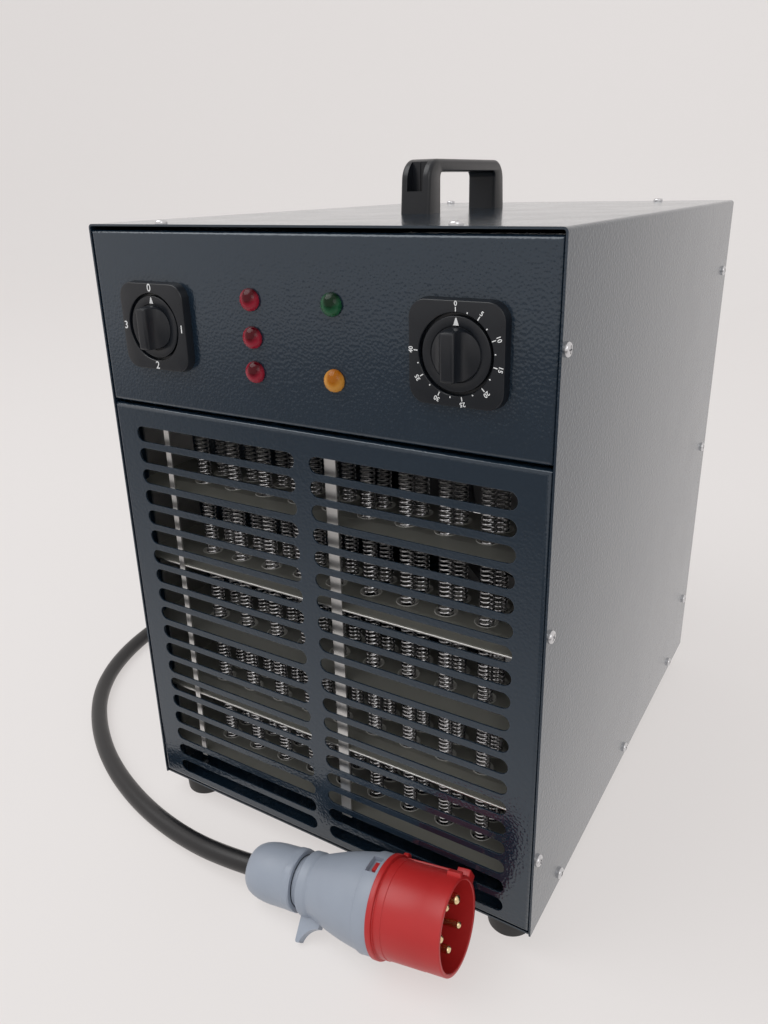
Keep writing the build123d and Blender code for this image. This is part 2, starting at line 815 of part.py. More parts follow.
def fan_ring():
    """The bell-mouthed ring behind the rear panel."""
    r = fan_ring_radius
    w = fan_ring_wall
    outer = turned([(fan_ring_flange, 0), (fan_ring_flange, w), (r + fan_flare + w, w),
                    (r + w, fan_flare + w), (r + w, fan_ring_length)], ring_sides)
    inner = turned([(r + fan_flare + w, -w), (r, fan_flare), (r, fan_ring_length + past)], ring_sides)
    ring = placed((0, rear_inner, fan_axis[2]), front_axis) * (outer - inner)
    for x, z in guard_screw_places():
        ring = ring - hole(screw_hole_radius, screw_sides, (x, rear_inner + past, z), front_axis,
                           w + 2 * past)
    return ring


def guard_angles():
    return [math.radians(45 + 90 * i) for i in range(4)]


def guard_screw_places():
    return [(guard_ear_radius * math.cos(a), fan_axis[2] + guard_ear_radius * math.sin(a))
            for a in guard_angles()]


def fan_guard():
    """Concentric wires on four arms, with the plate that carries the motor."""
    rings = []
    step = (guard_outer_radius - guard_plate_radius) / guard_rings
    for i in range(1, guard_rings + 1):
        r = guard_plate_radius + i * step
        wire = RegularPolygon(r + guard_wire / 2, large_sides)
        wire = wire - RegularPolygon(r - guard_wire / 2, large_sides)
        rings.append(Pos(0, 0, guard_wire) * extrude(wire, amount=guard_wire))
    plate = prism(guard_plate_radius, large_sides, (0, 0, 0), (0, 0, 1), guard_wire)
    arm_length = guard_ear_radius + guard_arm_width
    arm = block((0, arm_length), (-guard_arm_width / 2, guard_arm_width / 2), (0, guard_wire))
    arms = [Rot(0, 0, math.degrees(a)) * arm for a in guard_angles()]
    guard = placed((0, case_depth, fan_axis[2]), rear_axis) * joined([plate, *arms, *rings])
    for x, z in guard_screw_places():
        guard = guard - hole(screw_hole_radius, screw_sides, (x, case_depth - past, z), rear_axis,
                             2 * guard_wire)
    return guard


def guard_screws():
    screw = pan_screw(screw_head_radius, screw_head_height, screw_radius, screw_length)
    return group(placed((x, case_depth + guard_wire, z), rear_axis) * screw
                 for x, z in guard_screw_places())


def fan_motor():
    """The motor on the guard's plate, with a nose that holds its shaft."""
    r = motor_radius
    shoulder = motor_length - motor_nose_length
    motor = turned([
        (r - hub_bevel, 0), (r, hub_bevel), (r, shoulder - hub_bevel), (r - hub_bevel, shoulder),
        (motor_nose_radius, shoulder), (motor_nose_radius - motor_nose_bevel, motor_length)],
        large_sides)
    motor = motor - rod((0, 0, motor_length), (0, 0, -1), motor_shaft_radius + shaft_play, motor_bearing)
    return placed((0, case_depth, fan_axis[2]), front_axis) * motor


def fan_shaft():
    """The motor's shaft, from the motor's bearing into the hub's boss."""
    start = (0, motor_front + motor_bearing - seat_gap, fan_axis[2])
    hub_front = motor_front - hub_lead
    return rod(start, front_axis, motor_shaft_radius, start[1] - hub_front)


def fan_impeller():
    """A hub cup over the motor's front, with twisted blades."""
    r = hub_radius
    cup = turned([(r - hub_bevel, 0), (r, hub_bevel), (r, hub_depth)], ring_sides)
    cup = cup - prism(r - hub_wall, ring_sides, (0, 0, hub_wall), (0, 0, 1), hub_depth)
    cup = cup + prism(boss_radius, medium_sides, (0, 0, 0), (0, 0, 1), boss_length)
    root = r - hub_wall / 2
    tip = fan_ring_radius - blade_tip_gap
    sections = []
    for share in (0, 0.5, 1):
        chord = blade_root_chord + share * (blade_tip_chord - blade_root_chord)
        angle = blade_root_angle + share * (blade_tip_angle - blade_root_angle)
        place = (root + share * (tip - root), 0, hub_depth / 2)
        frame = Plane(origin=place, x_dir=(0, 0, 1), z_dir=(1, 0, 0))
        sections.append(frame * Rot(0, 0, angle) * Rectangle(blade_thickness, chord))
    blade = loft(sections, ruled=True)
    blades = [Rot(0, 0, 360 * i / blade_count) * blade for i in range(blade_count)]
    bore = rod((0, 0, -past), (0, 0, 1), motor_shaft_radius, boss_length + 2 * past)
    fan = joined([cup, *blades]) - bore
    return placed((0, motor_front - hub_lead, fan_axis[2]), rear_axis) * fan


# Plug

def plug_frame():
    """A frame on the plug's axis at the collar's rear face: local Z to the mouth, local Y up."""
    yaw = math.radians(plug_yaw)
    tilt = math.radians(plug_tilt)
    axis = (math.cos(tilt) * math.cos(yaw), math.cos(tilt) * math.sin(yaw), math.sin(tilt))
    across = (-math.sin(yaw), math.cos(yaw), 0)
    return Plane(origin=plug_collar, x_dir=across, z_dir=axis)


def plug_point(along, across=0.0, up=0.0):
    """A point given along the plug's axis, across it and up."""
    return tuple(plug_frame().from_local_coords(Vector(across, up, along)))


def plug_sleeve():
    """The round sleeve with its collar, key, ribs and lug."""
    bore = sleeve_mouth_radius - sleeve_wall
    sleeve = turned([(collar_radius, 0), (collar_radius, collar_width),
                     (sleeve_base_radius, collar_width + collar_bevel),
                     (sleeve_mouth_radius, sleeve_length)],
                    ring_sides)
    sleeve = sleeve - hole(bore, ring_sides, (0, 0, sleeve_floor), (0, 0, 1), sleeve_length)
    low = sleeve_mouth_radius - root_depth
    rib = block((low, sleeve_base_radius + key_step), (-rib_width / 2, rib_width / 2),
                (collar_width, sleeve_length))
    key = block((low, sleeve_base_radius + 2 * key_step), (-key_width / 2, key_width / 2),
                (sleeve_length - key_length, sleeve_length))
    lug = prism(collar_lug, small_sides, (collar_radius - root_depth, 0, 0), (0, 0, 1), collar_width)
    second = block((low, sleeve_base_radius + key_step), (-rib_width / 2, rib_width / 2),
                   (sleeve_length - key_length, sleeve_length))
    return plug_frame() * (sleeve + Rot(0, 0, key_angle) * (rib + key + lug)
                           + Rot(0, 0, key_angle + rib_angle) * second)


def pin_places():
    """Place across the face and radius of each pin, the earth pin first."""
    places = []
    for i in range(5):
        a = math.radians(key_angle + 72 * i)
        places.append((pin_circle * math.cos(a), pin_circle * math.sin(a),
                       pin_radius if i else earth_pin_radius))
    return places


def plug_insert():
    """The disc that holds the pins, on the sleeve's floor."""
    r = sleeve_mouth_radius - sleeve_wall - seat_gap
    disc = prism(r, large_sides, (0, 0, sleeve_floor), (0, 0, 1), insert_height)
    for x, y, radius in pin_places():
        disc = disc - hole(radius - pin_stem_step, small_sides, (x, y, sleeve_floor - past), (0, 0, 1),
                           insert_height + 2 * past)
    return plug_frame() * disc


def plug_pins():
    """Five round pins whose thinner stems pass through the disc and stand on the sleeve's floor."""
    shoulder = sleeve_floor + insert_height + seat_gap
    pins = []
    for x, y, r in pin_places():
        stem = prism(r - pin_stem_step, small_sides, (x, y, sleeve_floor), (0, 0, 1),
                     shoulder - sleeve_floor)
        pin = rod((x, y, shoulder), (0, 0, 1), r, pin_reach - pin_tip - shoulder)
        tip = Pos(x, y, 0) * turned([(r, pin_reach - pin_tip), (r * pin_tip_share, pin_reach)],
                                    medium_sides)
        pins.append(plug_frame() * (stem + pin + tip))
    return group(pins)


def plug_body():
    """The tapered body between the collar and the gland nut."""
    end = collar_radius - body_step
    half_way = (neck_radius + end) / 2 + body_bulge
    body = turned([
        (neck_core, nut_front + seat_gap), (neck_core, neck_rear), (neck_radius, neck_rear),
        (neck_radius + neck_ring, neck_rear + body_bevel),
        (neck_radius + neck_ring, neck_front - neck_ring_gap), (neck_radius, neck_front),
        (half_way, (neck_front + body_band) / 2), (end - body_bevel, body_band),
        (end, body_band + body_bevel), (end, 0)], ring_sides)
    for angle, width in windows:
        body = body - Rot(0, 0, angle) * block(
            (end - window_depth, end + past), (-width / 2, width / 2), (window_rear, window_front))
    return plug_frame() * (body + neck_lug())


def neck_lug():
    """The curved lug under the neck, which hooks the plug's cap."""
    root = neck_radius - root_depth
    middle = ((lug_front + lug_rear) / 2, (root + lug_reach) / 2)
    rear = (lug_rear, root)
    edge = (lug_rear + lug_edge, lug_reach - lug_edge)
    crest = (lug_rear + 2 * lug_edge, lug_reach)
    slope = (crest[0] + lug_crest, lug_reach - lug_edge / 2)
    foot = (lug_front, root + lug_foot)
    side = make_face([Line(rear, edge), Line(edge, crest), Line(crest, slope),
                      ThreePointArc(slope, middle, foot), Line(foot, (lug_front, root)),
                      Line((lug_front, root), rear)])
    frame = Plane(origin=(0, 0, 0), x_dir=(0, 0, 1), z_dir=(0, 1, 0))
    return Rot(0, 0, lug_angle) * (frame * extrude(side, amount=lug_width / 2, both=True))


def plug_gland_nut():
    """The domed nut that clamps the cord."""
    r = plug_nut_radius
    side = r - nut_lip_step
    lip = nut_front - nut_lip
    outline = []
    for i in range(nut_dome_steps + 1):
        a = math.pi / 2 * i / nut_dome_steps
        outline.append((plug_nut_end_radius + (side - plug_nut_end_radius) * math.sin(a),
                        nut_rear + nut_dome * (1 - math.cos(a))))
    outline += [(side, lip - nut_lip_step), (r, lip), (r, nut_front - nut_bevel), (r - nut_bevel, nut_front)]
    nut = turned(outline, large_sides)
    return plug_frame() * (nut - hole(cord_radius + cord_play, medium_sides, (0, 0, nut_rear - past),
                                      (0, 0, 1), cord_socket + past))


# Cord

def cable_gland():
    """The gland in the rear panel: a locknut inside, a hexagon and a dome outside."""
    level = case_bottom + gland_height
    nut = prism(gland_inner_nut_radius, 6, (gland_x, rear_inner, level), front_axis, gland_nut)
    thread_start = rear_inner - gland_nut - gland_thread_end
    thread = prism(gland_thread_radius, medium_sides, (gland_x, thread_start, level), rear_axis,
                   case_depth - thread_start)
    hexagon = prism(gland_hexagon_radius, 6, (gland_x, case_depth, level), rear_axis, gland_hexagon)
    dome = placed((gland_x, case_depth, level), rear_axis) * turned([
        (gland_radius, 0), (gland_radius, gland_length - gland_bevel),
        (gland_radius - gland_mouth, gland_length)], large_sides)
    return joined([nut, thread, hexagon, dome])


def cord_relief():
    """A tapered rubber sleeve that holds the cord behind the gland."""
    level = case_bottom + gland_height
    length = relief_length
    cone = turned([(gland_radius - gland_mouth, 0), (relief_end_radius, length)], large_sides)
    socket = hole(cord_radius + cord_play, medium_sides, (0, 0, length - cord_socket), (0, 0, 1),
                  cord_socket + past)
    return placed((gland_x, case_depth + gland_length, level), rear_axis) * (cone - socket)


def run_radii(points):
    """The largest arc at each corner of a route: 0.45 of the shorter run over tan of half the turn."""
    radii = []
    for before, here, after in zip(points, points[1:], points[2:]):
        one = Vector(*here) - Vector(*before)
        two = Vector(*after) - Vector(*here)
        half_turn = math.radians(one.get_angle(two)) / 2
        radii.append(0.45 * min(one.length, two.length) / math.tan(half_turn))
    return radii


def cord_tube(points):
    """A cord along straight runs joined by tangent arcs."""
    radii = run_radii(points)
    path = FilletPolyline(*points, radius=radii)
    start = Vector(*points[1]) - Vector(*points[0])
    section = placed(points[0], tuple(start)) * RegularPolygon(cord_radius, cord_sides)
    tube = sweep(section, path=path)
    ideal = section.area * path.length
    print("cord stretch: length", round(path.length, 1), "smallest radius", round(min(radii), 1),
          "volume over section times length", round(tube.volume / ideal, 4))
    return tube


def power_cord():
    """From the relief's socket down to the floor, round behind the case and forward to the plug."""
    level = case_bottom + gland_height
    out = case_depth + gland_length + relief_length - cord_socket
    floor = cord_height
    return cord_tube([
        (gland_x, out, level), (gland_x, out + 62, level), (gland_x, out + 110, floor),
        (gland_x, out + 170, floor), (77, out + 219, floor), (29, out + 246, floor),
        (-46, out + 252, floor), (-130, out + 228, floor), (-202, out + 178, floor),
        (-256, out + 108, floor), (-295, out + 26, floor), (-324, 370, floor), (-344, 290, floor),
        (-353, 215, floor), (-348, 152, floor), (-331, 99, floor), (-303, 56, floor), (-262, 20, floor),
        (-212, -9.5, floor), (-157, -29.5, floor), (-104, -39.6, floor + 1.2),
        plug_point(nut_rear - cord_lift), plug_point(nut_rear + cord_socket)])


# All pieces by name

def build():
    pieces = {
        "outer_shell": outer_shell(),
        "base_pan": base_pan(),
        "front_grille": front_grille(),
        "control_panel": control_panel(),
        "rear_panel": rear_panel(),
        "shell_screws": shell_screws(),
        "carry_handle": carry_handle(),
        "handle_screws": handle_screws(),
        "foot_screws": foot_screws(),
        "element_side_plate_left": element_side_plate(-1),
        "element_side_plate_right": element_side_plate(1),
        "ceramic_bushes_front": ceramic_bushes(coil_row_front),
        "ceramic_bushes_back": ceramic_bushes(coil_row_back),
        "heating_coils_front": heating_coils(coil_row_front),
        "heating_coils_back": heating_coils(coil_row_back),
        "front_stay_left": front_stay(stay_left_inset - half_width, stay_left_width),
        "front_stay_right": front_stay(stay_right_x, stay_right_width),
        "bushing_nuts": bushing_nuts(),
        "red_lamp_lenses": group(lamp_lens(x, drop) for x, drop in red_lamps),
        "green_lamp_lens": lamp_lens(*green_lamp),
        "amber_lamp_lens": lamp_lens(*amber_lamp),
        "lamp_holders": lamp_holders(),
        "control_shelf": control_shelf(),
        "din_rail": din_rail(),
        "contactor": rail_device(contactor_x, contactor_size, contactor_step),
        "terminal_block": rail_device(terminal_x, terminal_size, terminal_step),
        "thermal_cutout": thermal_cutout(),
        "thermostat_bulb": thermostat_bulb(),
        "fan_ring": fan_ring(),
        "fan_guard": fan_guard(),
        "guard_screws": guard_screws(),
        "fan_motor": fan_motor(),
        "fan_shaft": fan_shaft(),
        "fan_impeller": fan_impeller(),
        "cable_gland": cable_gland(),
        "cord_relief": cord_relief(),
        "power_cord": power_cord(),
        "plug_gland_nut": plug_gland_nut(),
        "plug_body": plug_body(),
        "plug_sleeve": plug_sleeve(),
        "plug_insert": plug_insert(),
        "plug_pins": plug_pins(),
    }
    for i, level in enumerate(tray_levels):
        pieces[f"element_tray_{i + 1}"] = element_tray(level)
    for i, (x, y) in enumerate(foot_places):
        pieces[f"rubber_foot_{i + 1}"] = rubber_foot(x, y)
    for name, side in (("switch", -1), ("thermostat", 1)):
        x = side * control_spread
        pieces[f"{name}_plate"] = control_plate(x)
        pieces[f"{name}_knob"] = control_knob(x)
        pieces[f"{name}_shaft"] = control_shaft(x)
        pieces[f"{name}_body"] = control_body(x)
    return pieces


os.makedirs("parts", exist_ok=True)
for node, piece in build().items():
    export_step(Pos(0, -middle_y, 0) * piece, f"parts/{node}.step")
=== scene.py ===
import json
import math

import bmesh
import bpy
from mathutils import Matrix, Quaternion, Vector


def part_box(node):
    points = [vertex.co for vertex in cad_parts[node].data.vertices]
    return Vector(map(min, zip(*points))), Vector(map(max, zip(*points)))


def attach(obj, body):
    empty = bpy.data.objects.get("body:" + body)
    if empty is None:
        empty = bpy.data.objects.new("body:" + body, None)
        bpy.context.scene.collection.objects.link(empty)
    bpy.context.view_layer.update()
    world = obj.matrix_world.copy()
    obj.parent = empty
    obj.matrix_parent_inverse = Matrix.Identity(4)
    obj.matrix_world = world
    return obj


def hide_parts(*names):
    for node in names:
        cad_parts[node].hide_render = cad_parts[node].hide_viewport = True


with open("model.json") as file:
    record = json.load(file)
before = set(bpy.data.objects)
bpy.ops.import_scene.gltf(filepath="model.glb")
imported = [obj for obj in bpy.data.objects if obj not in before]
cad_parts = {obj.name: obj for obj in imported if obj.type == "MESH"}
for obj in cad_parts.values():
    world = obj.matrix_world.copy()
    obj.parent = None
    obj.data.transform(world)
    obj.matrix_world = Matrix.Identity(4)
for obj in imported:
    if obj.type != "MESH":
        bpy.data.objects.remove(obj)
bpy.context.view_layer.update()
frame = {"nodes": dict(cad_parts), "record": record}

# The fan heater's looks. Points are written in millimetres: X to the right from the case's middle,
# Y from the front face to the rear, Z up from the floor. at() turns them into metres in the packed
# frame.

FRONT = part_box("outer_shell")[0].y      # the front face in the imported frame


def at(x, y, z):
    """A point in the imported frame."""
    return Vector((x / 1000, y / 1000 + FRONT, z / 1000))


def span(node):
    """A node's lowest and highest corners at rest, in millimetres from the front face."""
    return [Vector((c.x, c.y - FRONT, c.z)) * 1000 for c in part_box(node)]


def middle(node):
    """The middle of a node's box at rest, in the same millimetres."""
    low, high = span(node)
    return (low + high) / 2


# Camera

camera = bpy.data.objects.new("camera", bpy.data.cameras.new("camera"))
bpy.context.scene.collection.objects.link(camera)
bpy.context.scene.camera = camera
camera.data.sensor_width = 36
camera.data.lens = 28.84
camera.data.shift_y = -0.0152
camera.data.clip_start = 0.01
camera.data.clip_end = 50
camera.location = at(283.75, -365.27, 457.69)
camera.rotation_mode = "QUATERNION"
camera.rotation_quaternion = Quaternion((0.7948014, 0.5434056, 0.1621752, 0.2161026))


# Materials

PATCH_CELLS = 22        # of the grain across a broad patch of colour and gloss
GLOSS_SPREAD = 0.06


def material(name, colour, rough, metal=0.0, grain=900.0, bump=0.15, depth=0.1, spread=0.12,
             cells=False, stretch=(1, 1, 1), tint=None, **sockets):
    """A finish with uneven colour and gloss and a grain in its surface. Grain is in cells per
    metre, depth in millimetres. Tint is a second colour that shows in broad patches. Other settings
    go to the shader's sockets of those names."""
    made = bpy.data.materials.new(name)
    made.use_nodes = True
    nodes, links = made.node_tree.nodes, made.node_tree.links
    shader = nodes["Principled BSDF"]
    shader.inputs["Metallic"].default_value = metal
    for key, value in sockets.items():
        shader.inputs[key.replace("_", " ")].default_value = value
    place = nodes.new("ShaderNodeTexCoord")
    scale = nodes.new("ShaderNodeMapping")
    scale.inputs["Scale"].default_value = stretch
    links.new(place.outputs["Object"], scale.inputs["Vector"])
    broad = nodes.new("ShaderNodeTexNoise")
    broad.inputs["Scale"].default_value = grain / PATCH_CELLS
    broad.inputs["Detail"].default_value = 4
    links.new(scale.outputs["Vector"], broad.inputs["Vector"])
    fine = nodes.new("ShaderNodeTexVoronoi" if cells else "ShaderNodeTexNoise")
    fine.inputs["Scale"].default_value = grain
    if cells:
        fine.feature = "SMOOTH_F1"
    links.new(scale.outputs["Vector"], fine.inputs["Vector"])
    tone = nodes.new("ShaderNodeMix")
    tone.data_type = "RGBA"
    tone.inputs["A"].default_value = (*(c * (1 - spread) for c in colour), 1)
    tone.inputs["B"].default_value = (*(min(1, c * (1 + spread)) for c in (tint or colour)), 1)
    links.new(broad.outputs["Fac"], tone.inputs["Factor"])
    links.new(tone.outputs["Result"], shader.inputs["Base Color"])
    gloss = nodes.new("ShaderNodeMapRange")
    gloss.inputs["To Min"].default_value = max(0.02, rough - GLOSS_SPREAD)
    gloss.inputs["To Max"].default_value = min(1.0, rough + GLOSS_SPREAD)
    links.new(broad.outputs["Fac"], gloss.inputs["Value"])
    links.new(gloss.outputs["Result"], shader.inputs["Roughness"])
    relief = nodes.new("ShaderNodeBump")
    relief.inputs["Strength"].default_value = bump
    relief.inputs["Distance"].default_value = depth / 1000
    links.new(fine.outputs["Distance" if cells else "Fac"], relief.inputs["Height"])
    links.new(relief.outputs["Normal"], shader.inputs["Normal"])
    return made


def lens_material(name, rim, hollow_shade):
    """A clear coloured lens with painted shade and painted light: darker in its middle, off centre
    towards the top and right, as painted shade of its hollow, so that its lower rim stays lighter
    as a painted crescent of light through the dome.
    """
    made = material(name, rim, 0.1, grain=700, bump=0.02, spread=0.05, Transmission_Weight=0.3,
                    IOR=1.3)
    nodes, links = made.node_tree.nodes, made.node_tree.links
    shader = nodes["Principled BSDF"]
    # Painted shade of the hollow: a spherical gradient, off centre towards the top and right, mixes
    # in the darker colour, and the lower rim keeps the lighter one as painted light.
    place = nodes.new("ShaderNodeTexCoord")
    ball = nodes.new("ShaderNodeMapping")
    ball.inputs["Location"].default_value = (-0.32, -0.5, 0)
    ball.inputs["Scale"].default_value = (200, 150, 0)
    links.new(place.outputs["Object"], ball.inputs["Vector"])
    hollow_shade_falloff = nodes.new("ShaderNodeTexGradient")
    hollow_shade_falloff.gradient_type = "SPHERICAL"
    links.new(ball.outputs["Vector"], hollow_shade_falloff.inputs["Vector"])
    steep = nodes.new("ShaderNodeMapRange")
    steep.inputs["From Min"].default_value = 0.05
    steep.inputs["From Max"].default_value = 0.45
    links.new(hollow_shade_falloff.outputs["Fac"], steep.inputs["Value"])
    tone = nodes.new("ShaderNodeMix")
    tone.data_type = "RGBA"
    tone.inputs["B"].default_value = (*hollow_shade, 1)
    links.new(shader.inputs["Base Color"].links[0].from_socket, tone.inputs["A"])
    links.new(steep.outputs["Result"], tone.inputs["Factor"])
    links.new(tone.outputs["Result"], shader.inputs["Base Color"])
    return made


FINISHES = {
    "case_paint": material("case_paint", (0.009, 0.018, 0.030), 0.14, grain=620, bump=0.62,
                           depth=0.25, spread=0.08, cells=True, IOR=1.54, Coat_Weight=0.3,
                           Coat_Roughness=0.1, Specular_Tint=(0.86, 0.94, 1.0, 1),
                           Coat_Tint=(0.9, 0.96, 1.0, 1)),
    "zinc": material("zinc", (0.62, 0.63, 0.65), 0.24, 1.0, grain=1500, bump=0.1),
    "bright_steel": material("bright_steel", (0.62, 0.62, 0.61), 0.34, 1.0, grain=400, bump=0.12,
                             stretch=(1, 1, 0.1)),
    "tray_metal": material("tray_metal", (0.19, 0.195, 0.19), 0.42, 0.5, grain=300, bump=0.2,
                           spread=0.3, stretch=(0.2, 1, 1), tint=(0.235, 0.23, 0.195)),
    "element_wire": material("element_wire", (0.56, 0.56, 0.57), 0.26, 1.0, grain=2500, bump=0.2,
                             spread=0.3),
    "ceramic": material("ceramic", (0.38, 0.37, 0.34), 0.34, grain=1800, bump=0.2, spread=0.25),
    "black_plastic": material("black_plastic", (0.007, 0.009, 0.0125), 0.3, grain=2600, bump=0.2,
                              IOR=1.44),
    "grey_plastic": material("grey_plastic", (0.31, 0.345, 0.405), 0.42, grain=1500, bump=0.08,
                             spread=0.05),
    "red_plastic": material("red_plastic", (0.46, 0.018, 0.018), 0.4, grain=1500, bump=0.08,
                            spread=0.06),
    "brass": material("brass", (0.78, 0.62, 0.36), 0.22, 1.0, grain=1200, bump=0.08),
    "copper": material("copper", (0.7, 0.36, 0.22), 0.3, 1.0, grain=1200, bump=0.08),
    "guard_wire": material("guard_wire", (0.015, 0.015, 0.016), 0.4, grain=1500, bump=0.15),
    "motor_metal": material("motor_metal", (0.02, 0.02, 0.021), 0.62, grain=700, bump=0.3, IOR=1.2),
    "shaft_steel": material("shaft_steel", (0.5, 0.5, 0.5), 0.25, 1.0, grain=1200, bump=0.05),
    # Painted shade: aluminium kept dark, for the shade on the impeller deep inside the case.
    "aluminium": material("aluminium", (0.2, 0.2, 0.205), 0.55, 0.8, grain=500, bump=0.15),
    "foot_rubber": material("foot_rubber", (0.014, 0.014, 0.014), 0.6, grain=1500, bump=0.3),
    "cord_rubber": material("cord_rubber", (0.008, 0.008, 0.009), 0.36, grain=1800, bump=0.2),
    # The second colour of each lens is painted shade, the dark of its hollow.
    "red_lens": lens_material("red_lens", (0.38, 0.018, 0.04), (0.09, 0.001, 0.006)),
    "green_lens": lens_material("green_lens", (0.016, 0.11, 0.045), (0.001, 0.022, 0.006)),
    "amber_lens": lens_material("amber_lens", (0.74, 0.33, 0.05), (0.46, 0.14, 0.004)),
    "print_white": material("print_white", (0.78, 0.78, 0.77), 0.5, grain=1500, bump=0.05),
}

SLOTS = {part["node"]: part["material_slot"] for part in frame["record"]["subparts"]}
for node, obj in frame["nodes"].items():
    obj.data.materials.clear()
    obj.data.materials.append(FINISHES[SLOTS[node]])
frame["nodes"]["fan_ring"].data.materials[0] = FINISHES["motor_metal"]      # painted shade: the dark motor finish, for the shade deep inside the case, where the ring looks dark


# Helpers for meshes. A shape is a pair of lists, its corners in millimetres and its faces. An
# outline is a list of two-number points in millimetres.

def mesh_of(name, shape):
    """A shape as a mesh in metres, its faces turned outwards."""
    verts, faces = shape
    data = bpy.data.meshes.new(name)
    data.from_pydata([Vector(v) / 1000 for v in verts], [], faces)
    cleaner = bmesh.new()
    cleaner.from_mesh(data)
    bmesh.ops.recalc_face_normals(cleaner, faces=cleaner.faces)
    cleaner.to_mesh(data)
    cleaner.free()
    return data


def piece(name, shape, slot, body="casing", place=None, sharp=35, replaces=(), baked=False):
    """Make an object of a shape or a mesh, finished as one slot and riding on one body. A baked
    piece has its place in its mesh, as the CAD nodes have."""
    data = mesh_of(name, shape) if isinstance(shape, tuple) else shape
    if baked:
        data.transform(place)
        place = None
    if not data.materials:
        data.shade_smooth()
        data.set_sharp_from_angle(angle=math.radians(sharp))
        data.materials.append(FINISHES[slot])
    obj = bpy.data.objects.new(name, data)
    bpy.context.scene.collection.objects.link(obj)
    obj.matrix_world = place or Matrix()
    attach(obj, body)
    if replaces:
        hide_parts(*replaces)
    return obj


def evaluated(data, *modifiers):
    """The mesh that an object of some data makes, with modifiers given as (type, settings)."""
    obj = bpy.data.objects.new("shape", data)
    bpy.context.scene.collection.objects.link(obj)
    for kind, settings in modifiers:
        step = obj.modifiers.new(kind, kind)
        for key, value in settings.items():
            setattr(step, key, value)
    made = bpy.data.meshes.new_from_object(obj.evaluated_get(bpy.context.evaluated_depsgraph_get()))
    bpy.data.objects.remove(obj)
    made.materials.clear()
    return made


def carved(shape, tools, operation="DIFFERENCE", edge=0.0):
    """The mesh of a shape that others cut or are joined to, its sharp edges rounded if an edge
    radius is given."""
    made = shape if isinstance(shape, bpy.types.Mesh) else mesh_of("shape", shape)
    for tool in tools:
        other = bpy.data.objects.new("tool", mesh_of("tool", tool))
        bpy.context.scene.collection.objects.link(other)
        made = evaluated(made, ("BOOLEAN", {"object": other, "operation": operation,
                                            "solver": "EXACT"}))
        bpy.data.objects.remove(other)
    if edge:
        made = evaluated(made, ("BEVEL", {"width": edge / 1000, "segments": 2,
                                          "limit_method": "ANGLE",
                                          "angle_limit": math.radians(40)}))
    return made


def arc(centre, radius, start, end, steps=6):
    """Points along an arc between two angles in degrees."""
    angles = [math.radians(start + (end - start) * i / steps) for i in range(steps + 1)]
    return [(centre[0] + radius * math.cos(a), centre[1] + radius * math.sin(a)) for a in angles]


def turned(outline, steps=48, closed=False):
    """A surface around Z from (radius, height) points. A radius may be a function of the angle."""
    verts, faces, rings = [], [], []
    for r, h in outline:
        if not callable(r) and r < 1e-6:
            rings.append([len(verts)] * steps)
            verts.append((0, 0, h))
            continue
        rings.append(list(range(len(verts), len(verts) + steps)))
        for i in range(steps):
            a = 2 * math.pi * i / steps
            reach = r(a) if callable(r) else r
            verts.append((reach * math.cos(a), reach * math.sin(a), h))
    pairs = list(zip(rings, rings[1:]))
    if closed:
        pairs.append((rings[-1], rings[0]))
    for low, high in pairs:
        for i in range(steps):
            j = (i + 1) % steps
            face = list(dict.fromkeys((low[i], low[j], high[j], high[i])))
            if len(face) > 2:
                faces.append(face)
    return verts, faces


def slab(x, y, z, bevel=0.0):
    """A box between pairs of limits, with its edges taken off."""
    maker = bmesh.new()
    bmesh.ops.create_cube(maker, size=1)
    for v in maker.verts:
        v.co = [lo + (c + 0.5) * (hi - lo) for c, (lo, hi) in zip(v.co, (x, y, z))]
    if bevel:
        bmesh.ops.bevel(maker, geom=maker.edges[:], offset=bevel, segments=2, affect="EDGES",
                        profile=0.5)
    maker.verts.index_update()
    made = ([v.co.copy() for v in maker.verts], [[v.index for v in f.verts] for f in maker.faces])
    maker.free()
    return made


def moved(shape, place):
    """A shape under a matrix whose offsets are in millimetres."""
    return [place @ Vector(v) for v in shape[0]], shape[1]


def merged(shapes):
    """Several shapes as one."""
    verts, faces = [], []
    for some_verts, some_faces in shapes:
        faces += [[i + len(verts) for i in face] for face in some_faces]
        verts += some_verts
    return verts, faces


def extruded(outline, low, high):
    """A prism along Z with a closed (x, y) outline."""
    count = len(outline)
    verts = [(x, y, h) for h in (low, high) for x, y in outline]
    faces = [[i, (i + 1) % count, (i + 1) % count + count, i + count] for i in range(count)]
    return verts, faces + [list(range(count)), list(range(count, 2 * count))]


def cut_sheet(outlines, thickness, bevel):
    """A flat sheet around Z = 0 with holes, cut from closed outlines, its edges taken off."""
    data = bpy.data.curves.new("outline", "CURVE")
    data.dimensions = "2D"
    data.fill_mode = "BOTH"
    data.extrude = thickness / 2000 - bevel / 1000
    data.bevel_depth = bevel / 1000
    data.bevel_resolution = 1
    data.offset = -bevel / 1000
    for outline in outlines:
        line = data.splines.new("POLY")
        line.points.add(len(outline) - 1)
        for point, (x, y) in zip(line.points, outline):
            point.co = (x / 1000, y / 1000, 0, 1)
        line.use_cyclic_u = True
    return evaluated(data)


def shape_of(data):
    """A mesh as a shape."""
    return [v.co * 1000 for v in data.vertices], [list(p.vertices) for p in data.polygons]


